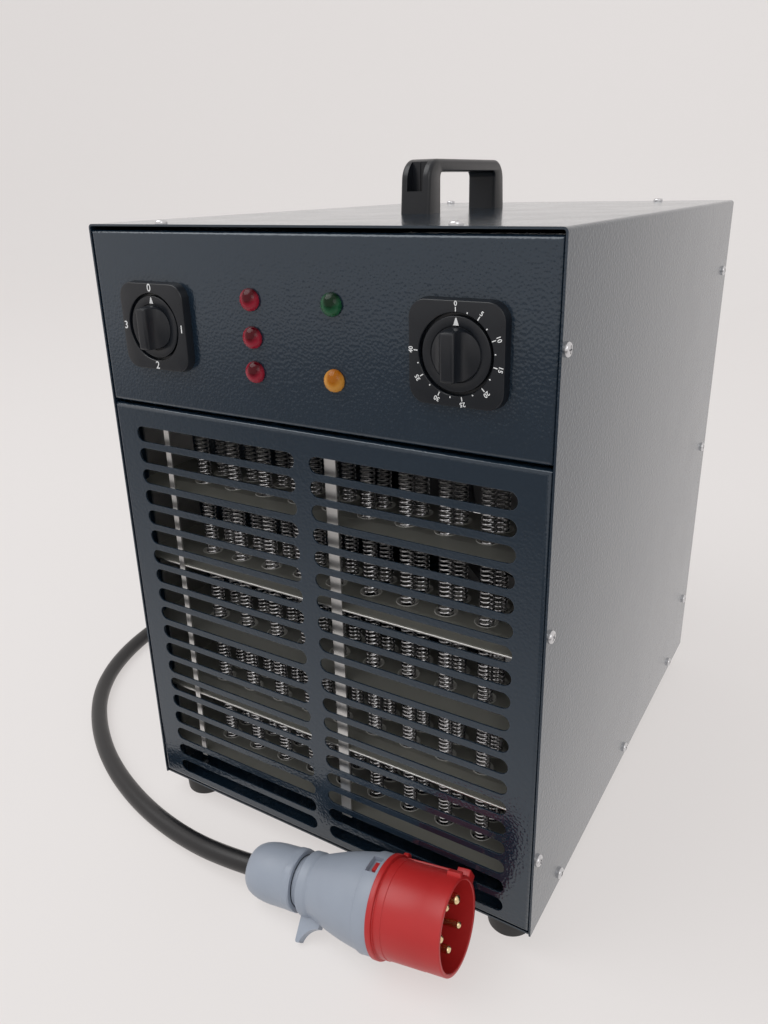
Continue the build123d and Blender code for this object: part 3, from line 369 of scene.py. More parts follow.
def wound(radius, wire, pitch, length, steps=14, sides=6):
    """A helix of round wire along Z."""
    verts, faces = [], []
    count = int(length / pitch * steps)
    rise = pitch / (2 * math.pi)
    for k in range(count + 1):
        a = 2 * math.pi * k / steps
        out = Vector((math.cos(a), math.sin(a), 0))
        along = Vector((-math.sin(a) * radius, math.cos(a) * radius, rise)).normalized()
        side = along.cross(out)
        centre = out * radius + Vector((0, 0, pitch * k / steps))
        for s in range(sides):
            b = 2 * math.pi * s / sides
            verts.append(centre + out * (wire * math.cos(b)) + side * (wire * math.sin(b)))
    for k in range(count):
        for s in range(sides):
            t = (s + 1) % sides
            faces.append([k * sides + s, k * sides + t, (k + 1) * sides + t, (k + 1) * sides + s])
    faces.append(list(range(sides))[::-1])
    faces.append([count * sides + s for s in range(sides)])
    return verts, faces


def looking(origin, direction, up=(0, 0, 1)):
    """A place whose local Z points along a direction and whose local Y is as near up as can be."""
    z = Vector(direction).normalized()
    x = Vector(up).cross(z).normalized()
    y = z.cross(x)
    place = Matrix((x, y, z)).transposed().to_4x4()
    place.translation = origin
    return place


def turn(degrees):
    """A turn about Z."""
    return Matrix.Rotation(math.radians(degrees), 4, "Z")


# Cord

PLUG_YAW, PLUG_TILT = math.radians(4.5), math.radians(7.0)
plug_axis = Vector((math.cos(PLUG_TILT) * math.cos(PLUG_YAW),
                    math.cos(PLUG_TILT) * math.sin(PLUG_YAW), math.sin(PLUG_TILT)))
plug_place = looking(at(73.8, -34.3, 31.35), plug_axis)


def along_plug(s):
    """A point on the plug's axis, in millimetres from its collar's rear face."""
    return plug_place @ Vector((0, 0, s / 1000))


GLAND_X, GLAND_Z = 105, 48      # the cord's way out through the rear panel
FLOOR_Z = 7.3                   # of the cord's centre where it lies on the floor
CORD_ON_FLOOR = [
    (105, 536), (105, 596), (77, 645), (29, 672), (-46, 678), (-130, 654), (-202, 604), (-256, 534),
    (-295, 452), (-324, 370), (-344, 290), (-353, 215), (-348, 152), (-331, 99), (-303, 56),
    (-262, 20), (-212, -9.5), (-157, -29.5),
]
CORD = [(GLAND_X, 426, GLAND_Z), (GLAND_X, 488, GLAND_Z),
        *[(x, y, FLOOR_Z) for x, y in CORD_ON_FLOOR], (-104, -39.6, 8.5)]
points = [at(*p) for p in CORD] + [along_plug(-128), along_plug(-84)]
line = bpy.data.curves.new("cord_line", "CURVE")
line.dimensions = "3D"
spline = line.splines.new("NURBS")
spline.points.add(len(points) - 1)
for control, p in zip(spline.points, points):
    control.co = (*p, 1)
spline.order_u = 3
spline.use_endpoint_u = True
line.resolution_u = 12
line.bevel_depth = 0.007
line.bevel_resolution = 6
line.use_fill_caps = True
line.materials.append(FINISHES["cord_rubber"])
cord = bpy.data.objects.new("cord_line", line)
bpy.context.scene.collection.objects.link(cord)
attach(cord, "casing")
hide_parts("power_cord")


# Gland and strain relief, along the cord's way out

gland_body = turned([(0, -10.2), (9.2, -10.2), (10, -9.4), (10, 0), (12, 0), (12, 11),
                     *arc((9.6, 11.2), 2.4, 0, 75), (10.2, 14), (0, 14)], 64)
gland_nuts = [turned([(0, -6.2), (13.2, -6.2), (14, -5.6), (14, -1.8), (13.2, -1.2), (0, -1.2)], 6),
              turned([(0, 0), (14.2, 0), (15, 0.7), (15, 5.4), (14.2, 6), (0, 6)], 6)]
gland = piece("cable_gland_detail", carved(gland_body, gland_nuts, "UNION"), "black_plastic",
              place=looking(at(GLAND_X, 400, GLAND_Z), (0, 1, 0)), sharp=25,
              replaces=["cable_gland"])
relief_outline = [
    (0, 0), (10.5, 0), (10.5, 2), (9.7, 2.4), (9.7, 5), (10.2, 5.4), (10.1, 8), (9.4, 8.4),
    (9.4, 11), (9.8, 11.4), (9.7, 14), (9.0, 14.4), (9.0, 17), (9.4, 17.4), (9.3, 20), (8.7, 20.4),
    (8.7, 23), (9.0, 23.4), (8.9, 26), (8.6, 28), (8.4, 30), (7.2, 30), (7.2, 20), (0, 20)]
relief = piece("cord_relief_taper", turned(relief_outline, 40), "cord_rubber",
               place=looking(at(GLAND_X, 414, GLAND_Z), (0, 1, 0)), replaces=["cord_relief"])


# Plug, along its own axis from the collar's rear face

KEY_ANGLE = 26.0                # these angles are in degrees round the plug's axis
SECOND_KEY = 37.0               # from the first
LATCH_ANGLE = 221
WINDOWS = ((88, 13), (220, 8))  # angle and width
PLUG_STEPS = 96


def nut_reach(a):
    """The nut's lip: round, with six shallow flats."""
    return 20.35 - 0.8 * (0.5 - 0.5 * math.cos(6 * a))


nut_end = [(13 + 6.5 * math.sin(a), -101.7 + 20.7 * (1 - math.cos(a)))
           for a in (0, 0.25, 0.5, 0.75, 1, 1.25, 1.5)]
nut_outline = [(7.3, -86), (7.3, -101.4), (7.9, -102), (12.2, -102), *nut_end,
               (19.5, -69.6), (19.65, -69.2), (nut_reach, -68.3), (nut_reach, -64), (19.5, -63.1),
               (16.7, -63.1), (16.7, -84), (7.3, -86)]
nut = piece("plug_nut", turned(nut_outline, PLUG_STEPS), "grey_plastic", place=plug_place, sharp=30,
            baked=True, replaces=["plug_gland_nut"])

flare = [(19.5 + 10 * t + 1.2 * math.sin(math.pi * t), -50 + 40 * t)
         for t in (0.12, 0.25, 0.38, 0.5, 0.62, 0.75, 0.88)]
body_outline = [(0, -62.6), (16.4, -62.6), (16.4, -58.4), (19.4, -58), (20, -57.6), (20.35, -57),
                (20.35, -52), (20, -51.2), (19.5, -50), *flare,
                (29.5, -10.1), (30.1, -9.7), (30.4, -9), (30.4, -0.1), (0, -0.1)]
windows = [moved(slab((26.5, 32), (-width / 2, width / 2), (-9, -2)), turn(angle))
           for angle, width in WINDOWS]
latch = extruded([(-57, 18), (-56.4, 34.2), (-55.8, 35.2), (-54.6, 35.4), (-53, 35),
                  *arc((-40.5, 37.8), 13.2, 194, 262, 8), (-42, 18)], -3, 3)
latch_turn = turn(LATCH_ANGLE) @ Matrix(((0, 1, 0, 0), (0, 0, 1, 0), (1, 0, 0, 0), (0, 0, 0, 1)))
body = carved(turned(body_outline, PLUG_STEPS), windows)
body = carved(body, [moved(latch, latch_turn)], "UNION")
plug_body = piece("plug_handle", body, "grey_plastic", place=plug_place, sharp=30, baked=True,
                  replaces=["plug_body"])

sleeve_outline = [(0, 0), (30.7, 0), (31.2, 0.5), (31.2, 3.1), *arc((30.4, 3.1), 0.8, 0, 90, 3),
                  (29.6, 4.0), (29.3, 4.4), (29.5, 5), (29.45, 9.6), (29.05, 10), (28.8, 33.6),
                  (28.65, 33.9), (28.6, 46.9), *arc((27.6, 46.9), 1.0, 0, 90, 4),
                  (26.6, 47.9), (26.1, 47.4), (26.1, 6), (0, 6)]
rib = slab((27.6, 30.9), (-2.4, 2.4), (3, 47.8), 0.4)
key = slab((27.6, 32.5), (-5, 5), (39, 47.8), 0.5)
second_key = slab((27.6, 31), (-2.4, 2.4), (39, 47.8), 0.4)
collar_lug = moved(turned([(0, 0.1), (3.3, 0.1), (3.6, 0.4), (3.6, 3.4), (3.2, 3.9), (0, 3.9)], 24),
                   Matrix.Translation((30.6, 0, 0)))
hook = slab((26, 28.4), (-3.4, 3.4), (-6.2, 0.5), 0.3)
sleeve = carved(turned(sleeve_outline, PLUG_STEPS),
                [moved(rib, turn(KEY_ANGLE)), moved(key, turn(KEY_ANGLE)),
                 moved(collar_lug, turn(KEY_ANGLE)),
                 moved(second_key, turn(KEY_ANGLE + SECOND_KEY)),
                 moved(hook, turn(WINDOWS[0][0]))], "UNION")
plug_sleeve = piece("plug_mouth", sleeve, "red_plastic", place=plug_place, sharp=30, baked=True,
                    replaces=["plug_sleeve"])

PIN_CIRCLE = 14.8
PIN_END = 44.4
PINS = []                       # the earth pin first, each with its place and radius
for i in range(5):
    a = math.radians(KEY_ANGLE + 72 * i)
    PINS.append((PIN_CIRCLE * math.cos(a), PIN_CIRCLE * math.sin(a), 2.5 if i else 3.5))


def at_each_pin(outline_of, steps):
    """A turned shape at each pin, whose outline follows from the pin's radius."""
    return [moved(turned(outline_of(r), steps), Matrix.Translation((x, y, 0))) for x, y, r in PINS]


def pin_outline(r):
    """A pin with a rounded tip, from inside the disc outwards."""
    rounding = r * 0.75
    tip = [(r * math.cos(a), PIN_END - rounding * (1 - math.sin(a))) for a in (0.3, 0.6, 0.9, 1.2)]
    return [(0, 6.1), (r - 0.6, 6.1), (r - 0.6, 12), (r, 12.3), (r, PIN_END - rounding), *tip,
            (0, PIN_END)]


bosses = at_each_pin(
    lambda r: [(0, 9), (r + 1.8, 9), (r + 1.8, 13.2), (r + 1.4, 13.6), (0, 13.6)], 24)
seats = at_each_pin(lambda r: [(0, 5), (r + 0.02, 5), (r + 0.02, 20), (0, 20)], 24)
disc = turned([(0, 6), (25.7, 6), (25.7, 11.4), (25.2, 11.9), (0, 11.9)], PLUG_STEPS)
insert = carved(carved(disc, bosses, "UNION"), seats)
plug_insert = piece("plug_contact_disc", insert, "red_plastic", place=plug_place, sharp=30,
                    baked=True, replaces=["plug_insert"])
plug_pins = piece("plug_contact_pins", merged(at_each_pin(pin_outline, 32)), "brass",
                  place=plug_place, sharp=50, baked=True, replaces=["plug_pins"])


# Front grille

low, high = span("front_grille")
FOLD = 2.6                      # the radius of its folded edges
SHEET = 1.2
FLANGE = 12                     # the depth of its folded rim
SLOT_HEIGHT = 10.5
SLOT_LENGTH = 131.6
SLOT_MIDDLE = 71.2              # of a column of slots, from the grille's middle
SLOT_INSET = 14.35              # of the first row's upper edge, from the grille's top
SLOT_PITCH = 15.1
SLOT_ROWS = 19
SLOT_EDGE = 0.18                # taken off the slots' edges
first_slot = high.z - SLOT_INSET - SLOT_HEIGHT / 2


def slot(x, z):
    """A round-ended slot's outline."""
    r = SLOT_HEIGHT / 2
    reach = SLOT_LENGTH / 2 - r
    return arc((x + reach, z), r, -90, 90, 12) + arc((x - reach, z), r, 90, 270, 12)


def inset_corners(inset):
    """The grille's corners, taken in by an inset."""
    return [(low.x + inset, low.z + inset), (high.x - inset, low.z + inset),
            (high.x - inset, high.z - inset), (low.x + inset, high.z - inset)]


slots = [slot(side * SLOT_MIDDLE, first_slot - row * SLOT_PITCH)
         for row in range(SLOT_ROWS) for side in (-1, 1)]
sheet = shape_of(cut_sheet([inset_corners(FOLD), *slots], SHEET, SLOT_EDGE))
bend = FOLD - SHEET             # the fold's inner radius
rim_section = ([(FOLD, 0)]      # inset from the grille's edges, and depth behind its face
               + [(FOLD - FOLD * math.sin(a), FOLD - FOLD * math.cos(a))
                  for a in (0.26, 0.52, 0.79, 1.05, 1.31)]
               + [(0, FOLD), (0, FLANGE - 0.2), (0.2, FLANGE), (1.0, FLANGE), (SHEET, FLANGE - 0.2),
                  (SHEET, FOLD)]
               + [(FOLD - bend * math.sin(a), FOLD - bend * math.cos(a)) for a in (1.05, 0.52)]
               + [(FOLD, SHEET)])
rim_verts, rim_faces = [], []
for inset, depth in rim_section:
    rim_verts += [(x, z, -depth) for x, z in inset_corners(inset)]
for k in range(len(rim_section) - 1):
    for i in range(4):
        j = (i + 1) % 4
        rim_faces.append([4 * k + i, 4 * k + j, 4 * k + 4 + j, 4 * k + 4 + i])
grille = merged([moved(sheet, Matrix.Translation((0, 0, -SHEET / 2))), (rim_verts, rim_faces)])
piece("grille_front", grille, "case_paint", place=looking(at(0, 0, 0), (0, -1, 0)), sharp=32,
      replaces=["front_grille"])


# Case screws

cross = [moved(slab((-0.42, 0.42), (-2.1, 2.1), (1.1, 4)), turn(90 * i + 20)) for i in range(2)]
screw = carved(turned([(0, -1.4), (1.6, -1.4), (1.9, -1.1), (1.9, 0), (3.8, 0), (3.8, 0.7),
                       *arc((2.4, 0.8), 1.4, 0, 75, 4), (1.2, 2.28), (0, 2.3)], 32), cross)
half = high.x + SHEET
bottom = span("outer_shell")[0].z
top = span("outer_shell")[1].z
deep = span("outer_shell")[1].y
COLUMNS_Y = (5.5, deep - 15)    # of the screws near the front and the rear edge
TOP_X = half - 58               # of the screws in the top sheet
SIDE_LOW, SIDE_HIGH = bottom + 57, top - 55
ROW_Z = bottom + 8              # of the row along a side's lower edge
ROW_Y = (50, deep / 2, deep - 55)
screw_seats = []                # each with its outward direction
for side in (-1, 1):
    for y in COLUMNS_Y:
        screw_seats.append(((side * TOP_X, y, top), (0, 0, 1)))
        for z in (SIDE_LOW, (SIDE_LOW + SIDE_HIGH) / 2, SIDE_HIGH):
            screw_seats.append(((side * half, y, z), (side, 0, 0)))
    for y in ROW_Y:
        screw_seats.append(((side * half, y, ROW_Z), (side, 0, 0)))
for i, (seat, outward) in enumerate(screw_seats):
    up = (0, 1, 0) if outward[2] else (0, 0, 1)
    piece(f"case_screw_{i + 1}", screw, "zinc",
          place=looking(at(*seat), outward, up) @ turn(37 * i), replaces=["shell_screws"])


# Handle: a loop seen from the side, drawn in (y, z), whose edges are rounded towards both faces

HANDLE_HALF = 11.0              # of its width
HANDLE_EDGE = 2.5               # the rounding of its edges
HANDLE_LEAN = 4.5               # of its ends, inwards, in degrees
INNER_SHARE = 0.35              # of that rounding, at the opening's edges
POCKET_Z = (14, 40)             # from a pocket's floor to above the handle
POCKET_SIDE = 5.85              # half a pocket's width
POCKET_WEB = 0.4                # half the thickness of the web on a pocket's inner wall
handle_low, handle_high = span("carry_handle")
handle_end = (handle_high.y - handle_low.y) / 2 + 1.0


def mirrored(points):
    """The same points on the other side, in their turned order."""
    return [(-y, z) for y, z in points[::-1]]


outer_arc = arc((-45.8, 20), 14, 180 - HANDLE_LEAN, 90, 12)
outer = [(-handle_end, 0), *outer_arc, *mirrored(outer_arc), (handle_end, 0)]
inner_arc = arc((40, 22), 4, 0, 90, 6)
inner = [(44, 0), *inner_arc, *mirrored(inner_arc), (-44, 0)]
loop = outer + inner
normals = []                    # pointing into the handle's body, and level at its feet
for i, (y, z) in enumerate(loop):
    before, after = loop[i - 1], loop[(i + 1) % len(loop)]
    along = Vector((after[0] - before[0], after[1] - before[1])).normalized()
    if z == 0:
        along = Vector((0, 1)) if i in (0, len(outer)) else Vector((0, -1))
    normals.append((along.y, -along.x))
levels = []                     # place across the handle, and how far the loop is drawn in there
for k in range(6):
    a = math.pi / 2 * k / 5
    levels.append((-(HANDLE_HALF - HANDLE_EDGE) - HANDLE_EDGE * math.cos(a),
                   HANDLE_EDGE * (1 - math.sin(a))))
levels += [(-x, d) for x, d in levels[::-1]]
handle_verts, handle_faces = [], []
for x, drawn_in in levels:
    for i, ((y, z), n) in enumerate(zip(loop, normals)):
        share = drawn_in if i < len(outer) else drawn_in * INNER_SHARE
        handle_verts.append((x, y + n[0] * share, max(0.0, z + n[1] * share) if z > 0 else 0.0))
count = len(loop)
for k in range(len(levels) - 1):
    for i in range(count):
        j = (i + 1) % count
        handle_faces.append([k * count + i, k * count + j, (k + 1) * count + j,
                             (k + 1) * count + i])
handle_faces += [list(range(count)), list(range((len(levels) - 1) * count, len(levels) * count))]
pockets = []                    # one at each end, deeper on both sides of its web
for end in (-1, 1):
    for limits, depth in (((-POCKET_SIDE, POCKET_SIDE), 8.5), ((-POCKET_SIDE, -POCKET_WEB), 9.0),
                          ((POCKET_WEB, POCKET_SIDE), 9.0)):
        y = sorted((end * (handle_end + 1), end * (handle_end - depth)))
        pockets.append(slab(limits, y, POCKET_Z))
handle = carved((handle_verts, handle_faces), pockets)
piece("handle_bridge", handle, "black_plastic", sharp=32, replaces=["carry_handle"],
      place=Matrix.Translation(at(0, middle("carry_handle").y, top)))


# Controls

PLATE_SIDE = 54
PLATE_CORNER = 10
PLATE_FACE = 5.5                # this and the grip's front are measured from the panel
GRIP_FRONT = 15.5
PRINT = 0.09                    # of a mark above its plate


def square_reach(side, corner):
    """The distance to the edge of a rounded square, as a function of the angle."""
    def reach(a):
        a = abs((a + math.pi / 4) % (math.pi / 2) - math.pi / 4)
        half = side / 2
        if half * math.tan(a) <= half - corner:
            return half / math.cos(a)
        c = half - corner
        ahead = c * (math.cos(a) + math.sin(a))
        return ahead + math.sqrt(ahead ** 2 - 2 * c * c + corner ** 2)
    return reach


plate_edge = [(square_reach(PLATE_SIDE - 2 * d, PLATE_CORNER - d), h)
              for d, h in ((0, 0), (0.65, 4.6), (0.78, 5.1), (1.05, 5.4), (1.5, PLATE_FACE))]
plate_well = [(20.9, PLATE_FACE), (20.6, 5.2), (20.5, 4.9), (20.5, 2.0), (5.5, 2.0), (5.5, 0)]
plate = mesh_of("plate", turned(plate_edge + plate_well, 144, closed=True))

grip_side = [(13.6, 4.75), (11.2, 4.95), (9.2, 5.5), (7.5, 6.4), (6.2, 7.6), (5.2, 9.2), (4.5, 11),
             (4.0, 12.8), (3.7, 14.2), (3.4, 14.9), (2.9, 15.3), (2.2, GRIP_FRONT)]
grip = extruded([(13.6, 3.9), *grip_side, *mirrored(grip_side), (-13.6, 3.9)], -15, 15)
grip = moved(grip, Matrix(((1, 0, 0, 0), (0, 0, 1, 0), (0, 1, 0, 0), (0, 0, 0, 1))))
grip_taper = turned([(0, 3.5), (13.5, 3.5), (13.4, 5), (12.8, 13.8), (12.3, 14.9), (11.4, 15.4),
                     (10.8, GRIP_FRONT), (0, 15.6)], 96)
knob_disc = turned([(0, 2.6), (18.2, 2.6), (18.8, 2.8), (19, 3.2), (19, 4.2),
                    *arc((18.4, 4.2), 0.6, 0, 80, 3), (18.2, 4.85), (14.2, 4.75), (13.8, 4.3),
                    (13.3, 4.3), (13.1, 4.6), (0, 4.6)], 96)
knob = carved(carved(grip, [grip_taper], "INTERSECT"), [knob_disc], "UNION", edge=0.35)
pointer = extruded([(-1.5, 14.3), (1.5, 14.3), (0.25, 18), (-0.25, 18)], 4.78, 4.9)


def label(text, height, radius, clockwise, angle=0.0):
    """Plain printed characters at a clockwise angle from a dial's top, turned by an angle."""
    data = bpy.data.curves.new("label", "FONT")
    data.body = text
    data.size = height / 700
    data.align_x = "CENTER"
    data.align_y = "CENTER"
    data.extrude = 0.00003
    data.offset = 0.00006
    data.resolution_u = 4
    a = math.radians(clockwise)
    place = Matrix.Translation((radius * math.sin(a), radius * math.cos(a), PLATE_FACE + 0.06))
    return moved(shape_of(evaluated(data)), place @ turn(angle))


def mark(clockwise, near, far, width):
    """A printed tick along a clockwise angle from the top."""
    return moved(slab((-width / 2, width / 2), (near, far), (PLATE_FACE, PLATE_FACE + PRINT)),
                 turn(-clockwise))


DIAL_STEP = 34                  # in degrees, between the thermostat's numbers
dial_marks = {
    "switch": [label(text, 4.6, 23.6, clockwise)
               for text, clockwise in (("0", 0), ("1", 90), ("2", 180), ("3", 270))],
    "thermostat": [label(str(5 * i), 2.3, 24.9, DIAL_STEP * i, -DIAL_STEP * i) for i in range(9)]
    + [mark(DIAL_STEP * i, 21.1, 23.3, 0.5) for i in range(9)]
    + [mark(DIAL_STEP * (i + 0.5), 21.2, 22, 0.6) for i in range(8)],
}
for name, marks in dial_marks.items():
    centre = middle(f"{name}_plate")
    dial_place = looking(at(centre.x, 0, centre.z), (0, -1, 0))
    piece(f"{name}_dial", plate, "black_plastic", place=dial_place, sharp=25,
          replaces=[f"{name}_plate"])
    piece(f"{name}_marks", merged(marks), "print_white", place=dial_place, sharp=60)
    piece(f"{name}_grip", knob, "black_plastic", f"{name}_knob", dial_place, 32, [f"{name}_knob"])
    piece(f"{name}_pointer", pointer, "print_white", f"{name}_knob", dial_place, 60)


# Lamps, each with its place across the panel and its drop from the top of the case

LAMPS = [("red", -29.0, 40.4), ("red", -29.0, 61.8), ("red", -29.0, 81.9), ("green", 27.2, 40.2),
         ("amber", 27.1, 81.5)]
dome = [(0, -1.2), (4.6, -1.2), (4.6, 0), (6.4, 0),
        *[(6.5 * math.cos(math.radians(a)), 0.3 + 5.1 * math.sin(math.radians(a)))
          for a in range(0, 90, 9)], (0, 5.4)]
domes = {}
for i, (colour, x, drop) in enumerate(LAMPS):
    node = "red_lamp_lenses" if colour == "red" else f"{colour}_lamp_lens"
    made = piece(f"{colour}_lamp_{i + 1}", domes.get(colour) or turned(dome, 48),
                 f"{colour}_lens", place=looking(at(x, 0, top - drop), (0, -1, 0)), sharp=28,
                 replaces=[node])
    domes[colour] = made.data


# Heating pack

TRAY_RISE = 3.0                 # of a tray's flat part above its front edge
TRAY_LENGTH = 301
BUSH_SINK = 2.7                 # of a bush's foot below that flat part
COIL_TAIL = 9                   # of the coils below the lowest tray
COIL_PLACES = [27.0 * i for i in range(-4, 5)]
COIL_ROWS = {"front": 30.0, "back": 49.0}
tray_levels = [span(f"element_tray_{i + 1}")[0].z for i in range(6)]
bush_outline = [(6.1, 0.4), (6.4, 0), (7.0, 0), (7.4, 0.4), (7.4, 4.65), (7.2, 4.95), (6.8, 5.0),
                (6.5, 4.6)]

# The first coil and the first bush are made from these shapes, and the others share their meshes
coil = wound(radius=4.3, wire=0.58, pitch=2.9, length=281)
bush = turned(bush_outline, 32, closed=True)
for row, y in COIL_ROWS.items():
    for i, x in enumerate(COIL_PLACES):
        made = piece(f"coil_{row}_{i + 1}", coil, "element_wire",
                     place=Matrix.Translation(at(x, y, tray_levels[0] - COIL_TAIL)) @ turn(40 * i),
                     replaces=[f"heating_coils_{row}"])
        coil = made.data
        for k, level in enumerate(tray_levels):
            made = piece(f"bush_{row}_{i + 1}_{k + 1}", bush, "ceramic",
                         place=Matrix.Translation(at(x, y, level + TRAY_RISE - BUSH_SINK)),
                         replaces=[f"ceramic_bushes_{row}"])
            bush = made.data

for i, level in enumerate(tray_levels[:5]):
    edge = turned([(0, 0), (0.7, 0), (0.7, TRAY_LENGTH), (0, TRAY_LENGTH)], 12)
    piece(f"tray_edge_{i + 1}", edge, "bright_steel",
          place=looking(at(-TRAY_LENGTH / 2, 7.0, level + 0.6), (1, 0, 0)))


# Fan guard and feet

fan_level = middle("fan_shaft").z
HUB_RADIUS = 40
RING_STEP = 88 / 6
SCREW_CIRCLE = 134
ARM_ANGLES = [45 + 90 * i for i in range(4)]
wires = [turned([(HUB_RADIUS + RING_STEP * i + 1.25 * math.cos(a), 3.75 + 1.24 * math.sin(a))
                 for a in [math.pi / 5 * k for k in range(10)]], 96, closed=True)
         for i in range(1, 7)]
arm = slab((39.4, 139.6), (-3, 3), (0.05, 2.5), 0.4)
arms = [moved(arm, turn(angle)) for angle in ARM_ANGLES]
hub = turned([(0, 0), (HUB_RADIUS, 0), (HUB_RADIUS, 1.9), (39.4, 2.5), (30, 2.5), (28, 1.9),
              (0, 1.9)], 96)
piece("guard_wires", merged([hub, *arms, *wires]), "guard_wire", sharp=32,
      place=looking(at(0, deep, fan_level), (0, 1, 0)), replaces=["fan_guard"])
for i, angle in enumerate(ARM_ANGLES):
    a = math.radians(angle)
    seat = at(SCREW_CIRCLE * math.cos(a), deep + 2.5, fan_level + SCREW_CIRCLE * math.sin(a))
    piece(f"guard_screw_{i + 1}", screw, "zinc", place=looking(seat, (0, 1, 0)) @ turn(31 * i),
          replaces=["guard_screws"])

foot_outline = [(7.5, 10), (7.5, 0.4), (7.9, 0), (13.6, 0), *arc((13.6, 1.4), 1.4, -90, 0, 4),
                (15.9, 17.4), (15.5, 18), (2.7, 18), (2.7, 10)]
for i in range(4):
    centre = middle(f"rubber_foot_{i + 1}")
    piece(f"foot_{i + 1}", turned(foot_outline, 48, closed=True), "foot_rubber",
          place=Matrix.Translation(at(centre.x, centre.y, 0)), replaces=[f"rubber_foot_{i + 1}"])


# Stage and light

def any_ray(nodes, links, *outputs):
    """A value of 1 for rays of any of the given kinds, named as the light path node names them."""
    path = nodes.new("ShaderNodeLightPath")
    value = path.outputs[outputs[0]]
    for name in outputs[1:]:
        either = nodes.new("ShaderNodeMath")
        either.operation = "MAXIMUM"
        links.new(value, either.inputs[0])
        links.new(path.outputs[name], either.inputs[1])
        value = either.outputs[0]
    return value


SEEING = ("Is Camera Ray", "Is Glossy Ray", "Is Transmission Ray")     # rather than lighting
PALE = (0.83, 0.785, 0.765)     # of the room, as the camera and reflections see it


def painted_reflection_strength(nodes, links):
    """The strength with which a gloss shows the floor: less some way in front of the heater, a
    painted darker reflection, where the photograph's room is darker, as its control panel shows;
    the floor there is as pale as anywhere to the camera."""
    place = nodes.new("ShaderNodeTexCoord")
    oval = nodes.new("ShaderNodeMapping")
    oval.inputs["Location"].default_value = (-0.21, 1.22, 0)
    oval.inputs["Scale"].default_value = (0.345, 0.87, 0)
    links.new(place.outputs["Object"], oval.inputs["Vector"])
    fade = nodes.new("ShaderNodeTexGradient")
    fade.gradient_type = "SPHERICAL"
    links.new(oval.outputs["Vector"], fade.inputs["Vector"])
    less = nodes.new("ShaderNodeMapRange")
    less.inputs["From Max"].default_value = 0.45
    less.inputs["To Max"].default_value = -0.64
    links.new(fade.outputs["Fac"], less.inputs["Value"])
    strength = nodes.new("ShaderNodeMath")
    strength.operation = "MULTIPLY_ADD"
    strength.inputs[2].default_value = 1
    links.new(less.outputs["Result"], strength.inputs[0])
    links.new(any_ray(nodes, links, "Is Glossy Ray"), strength.inputs[1])
    return strength.outputs[0]


def floor_material(name, colour, glow):
    """A pale surface that looks evenly pale to the camera and in reflections, but for a painted
    darker reflection in front of the heater, and keeps its shadows. Glow is how much of its look to
    the camera is even."""
    made = bpy.data.materials.new(name)
    made.use_nodes = True
    nodes, links = made.node_tree.nodes, made.node_tree.links
    shader = nodes["Principled BSDF"]
    shader.inputs["Roughness"].default_value = 0.5
    noise = nodes.new("ShaderNodeTexNoise")
    noise.inputs["Scale"].default_value = 3
    tone = nodes.new("ShaderNodeMix")
    tone.data_type = "RGBA"
    tone.inputs["A"].default_value = (*(c * 0.98 for c in colour), 1)
    tone.inputs["B"].default_value = (*colour, 1)
    links.new(noise.outputs["Fac"], tone.inputs["Factor"])
    links.new(tone.outputs["Result"], shader.inputs["Base Color"])
    light = nodes.new("ShaderNodeEmission")
    light.inputs["Color"].default_value = (*PALE, 1)
    links.new(painted_reflection_strength(nodes, links), light.inputs["Strength"])
    share = nodes.new("ShaderNodeMath")
    share.operation = "MULTIPLY_ADD"
    share.inputs[1].default_value = glow
    share.use_clamp = True
    links.new(any_ray(nodes, links, *SEEING), share.inputs[0])
    links.new(any_ray(nodes, links, "Is Glossy Ray"), share.inputs[2])
    mix = nodes.new("ShaderNodeMixShader")
    links.new(share.outputs[0], mix.inputs[0])
    links.new(shader.outputs[0], mix.inputs[1])
    links.new(light.outputs[0], mix.inputs[2])
    links.new(mix.outputs[0], nodes["Material Output"].inputs["Surface"])
    return made


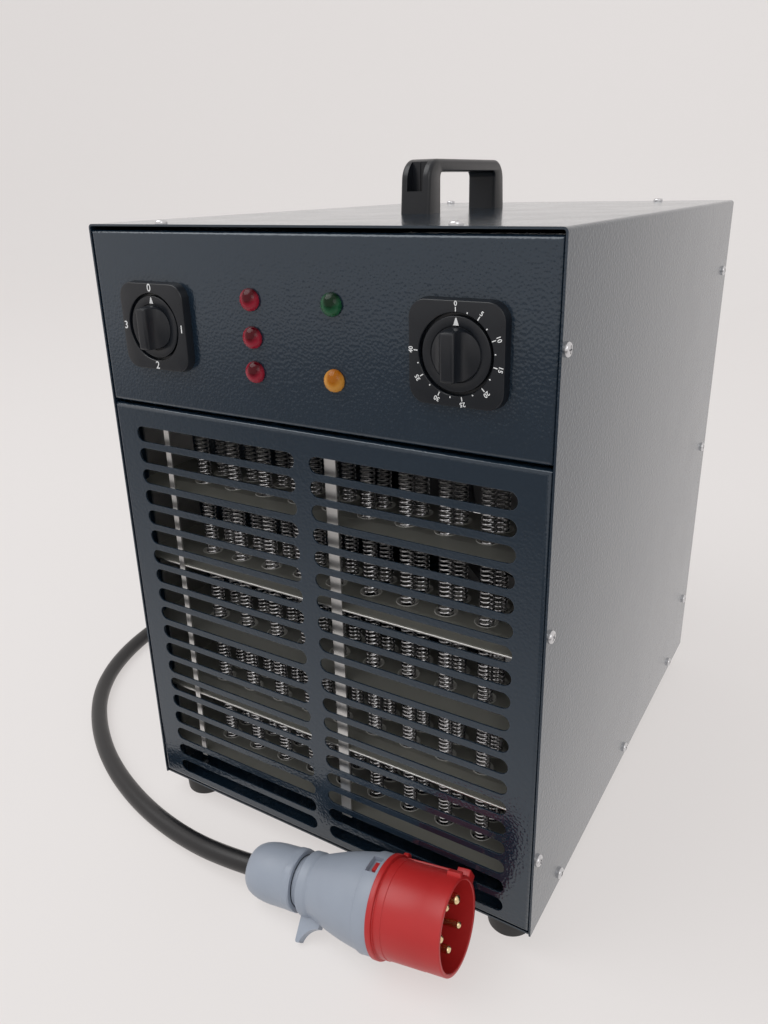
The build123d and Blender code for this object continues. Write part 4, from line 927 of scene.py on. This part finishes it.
# The floor and the backdrop are one sweep, drawn in (y, z) in metres
SWEEP = [(-6.0, 0.0), (2.2, 0.0), (2.45, 0.03), (2.62, 0.12), (2.72, 0.28), (2.75, 0.55),
         (2.75, 6.0)]
SWEEP_HALF = 7000               # its half width in millimetres
verts, faces = [], []
for y, z in SWEEP:
    verts += [(-SWEEP_HALF, y * 1000, z * 1000), (SWEEP_HALF, y * 1000, z * 1000)]
for i in range(len(SWEEP) - 1):
    faces.append([2 * i, 2 * i + 1, 2 * i + 3, 2 * i + 2])
backdrop = mesh_of("floor_and_backdrop", (verts, faces))
backdrop.shade_smooth()
backdrop.materials.append(floor_material("backdrop", (0.79, 0.785, 0.78), glow=0.7))
ground = bpy.data.objects.new("floor_and_backdrop", backdrop)
bpy.context.scene.collection.objects.link(ground)


def lamp(name, place, target, size, power):
    """A round area light aimed at a target, in metres and watts."""
    data = bpy.data.lights.new(name, "AREA")
    data.shape = "DISK"
    data.size = size
    data.energy = power
    obj = bpy.data.objects.new(name, data)
    bpy.context.scene.collection.objects.link(obj)
    obj.location = place
    obj.rotation_mode = "QUATERNION"
    obj.rotation_quaternion = (Vector(target) - Vector(place)).to_track_quat("-Z", "Y")


TARGET = (0, 0, 0.2)
lamp("key", (-1.0, -0.9, 2.2), TARGET, size=2.0, power=24)
lamp("fill", (1.6, -1.6, 1.6), TARGET, size=1.6, power=8)

world = bpy.data.worlds.new("world")
bpy.context.scene.world = world
world.use_nodes = True
nodes, links = world.node_tree.nodes, world.node_tree.links
soft = nodes["Background"]      # lights the heater, while the pale one is seen
soft.inputs["Color"].default_value = (0.96, 0.97, 1.0, 1)
soft.inputs["Strength"].default_value = 0.65
pale = nodes.new("ShaderNodeBackground")
pale.inputs["Color"].default_value = (*PALE, 1)
pale.inputs["Strength"].default_value = 1.0
mix = nodes.new("ShaderNodeMixShader")
links.new(any_ray(nodes, links, *SEEING), mix.inputs[0])
links.new(soft.outputs[0], mix.inputs[1])
links.new(pale.outputs[0], mix.inputs[2])
links.new(mix.outputs[0], nodes["World Output"].inputs[0])

bpy.context.scene.view_settings.view_transform = "Standard"
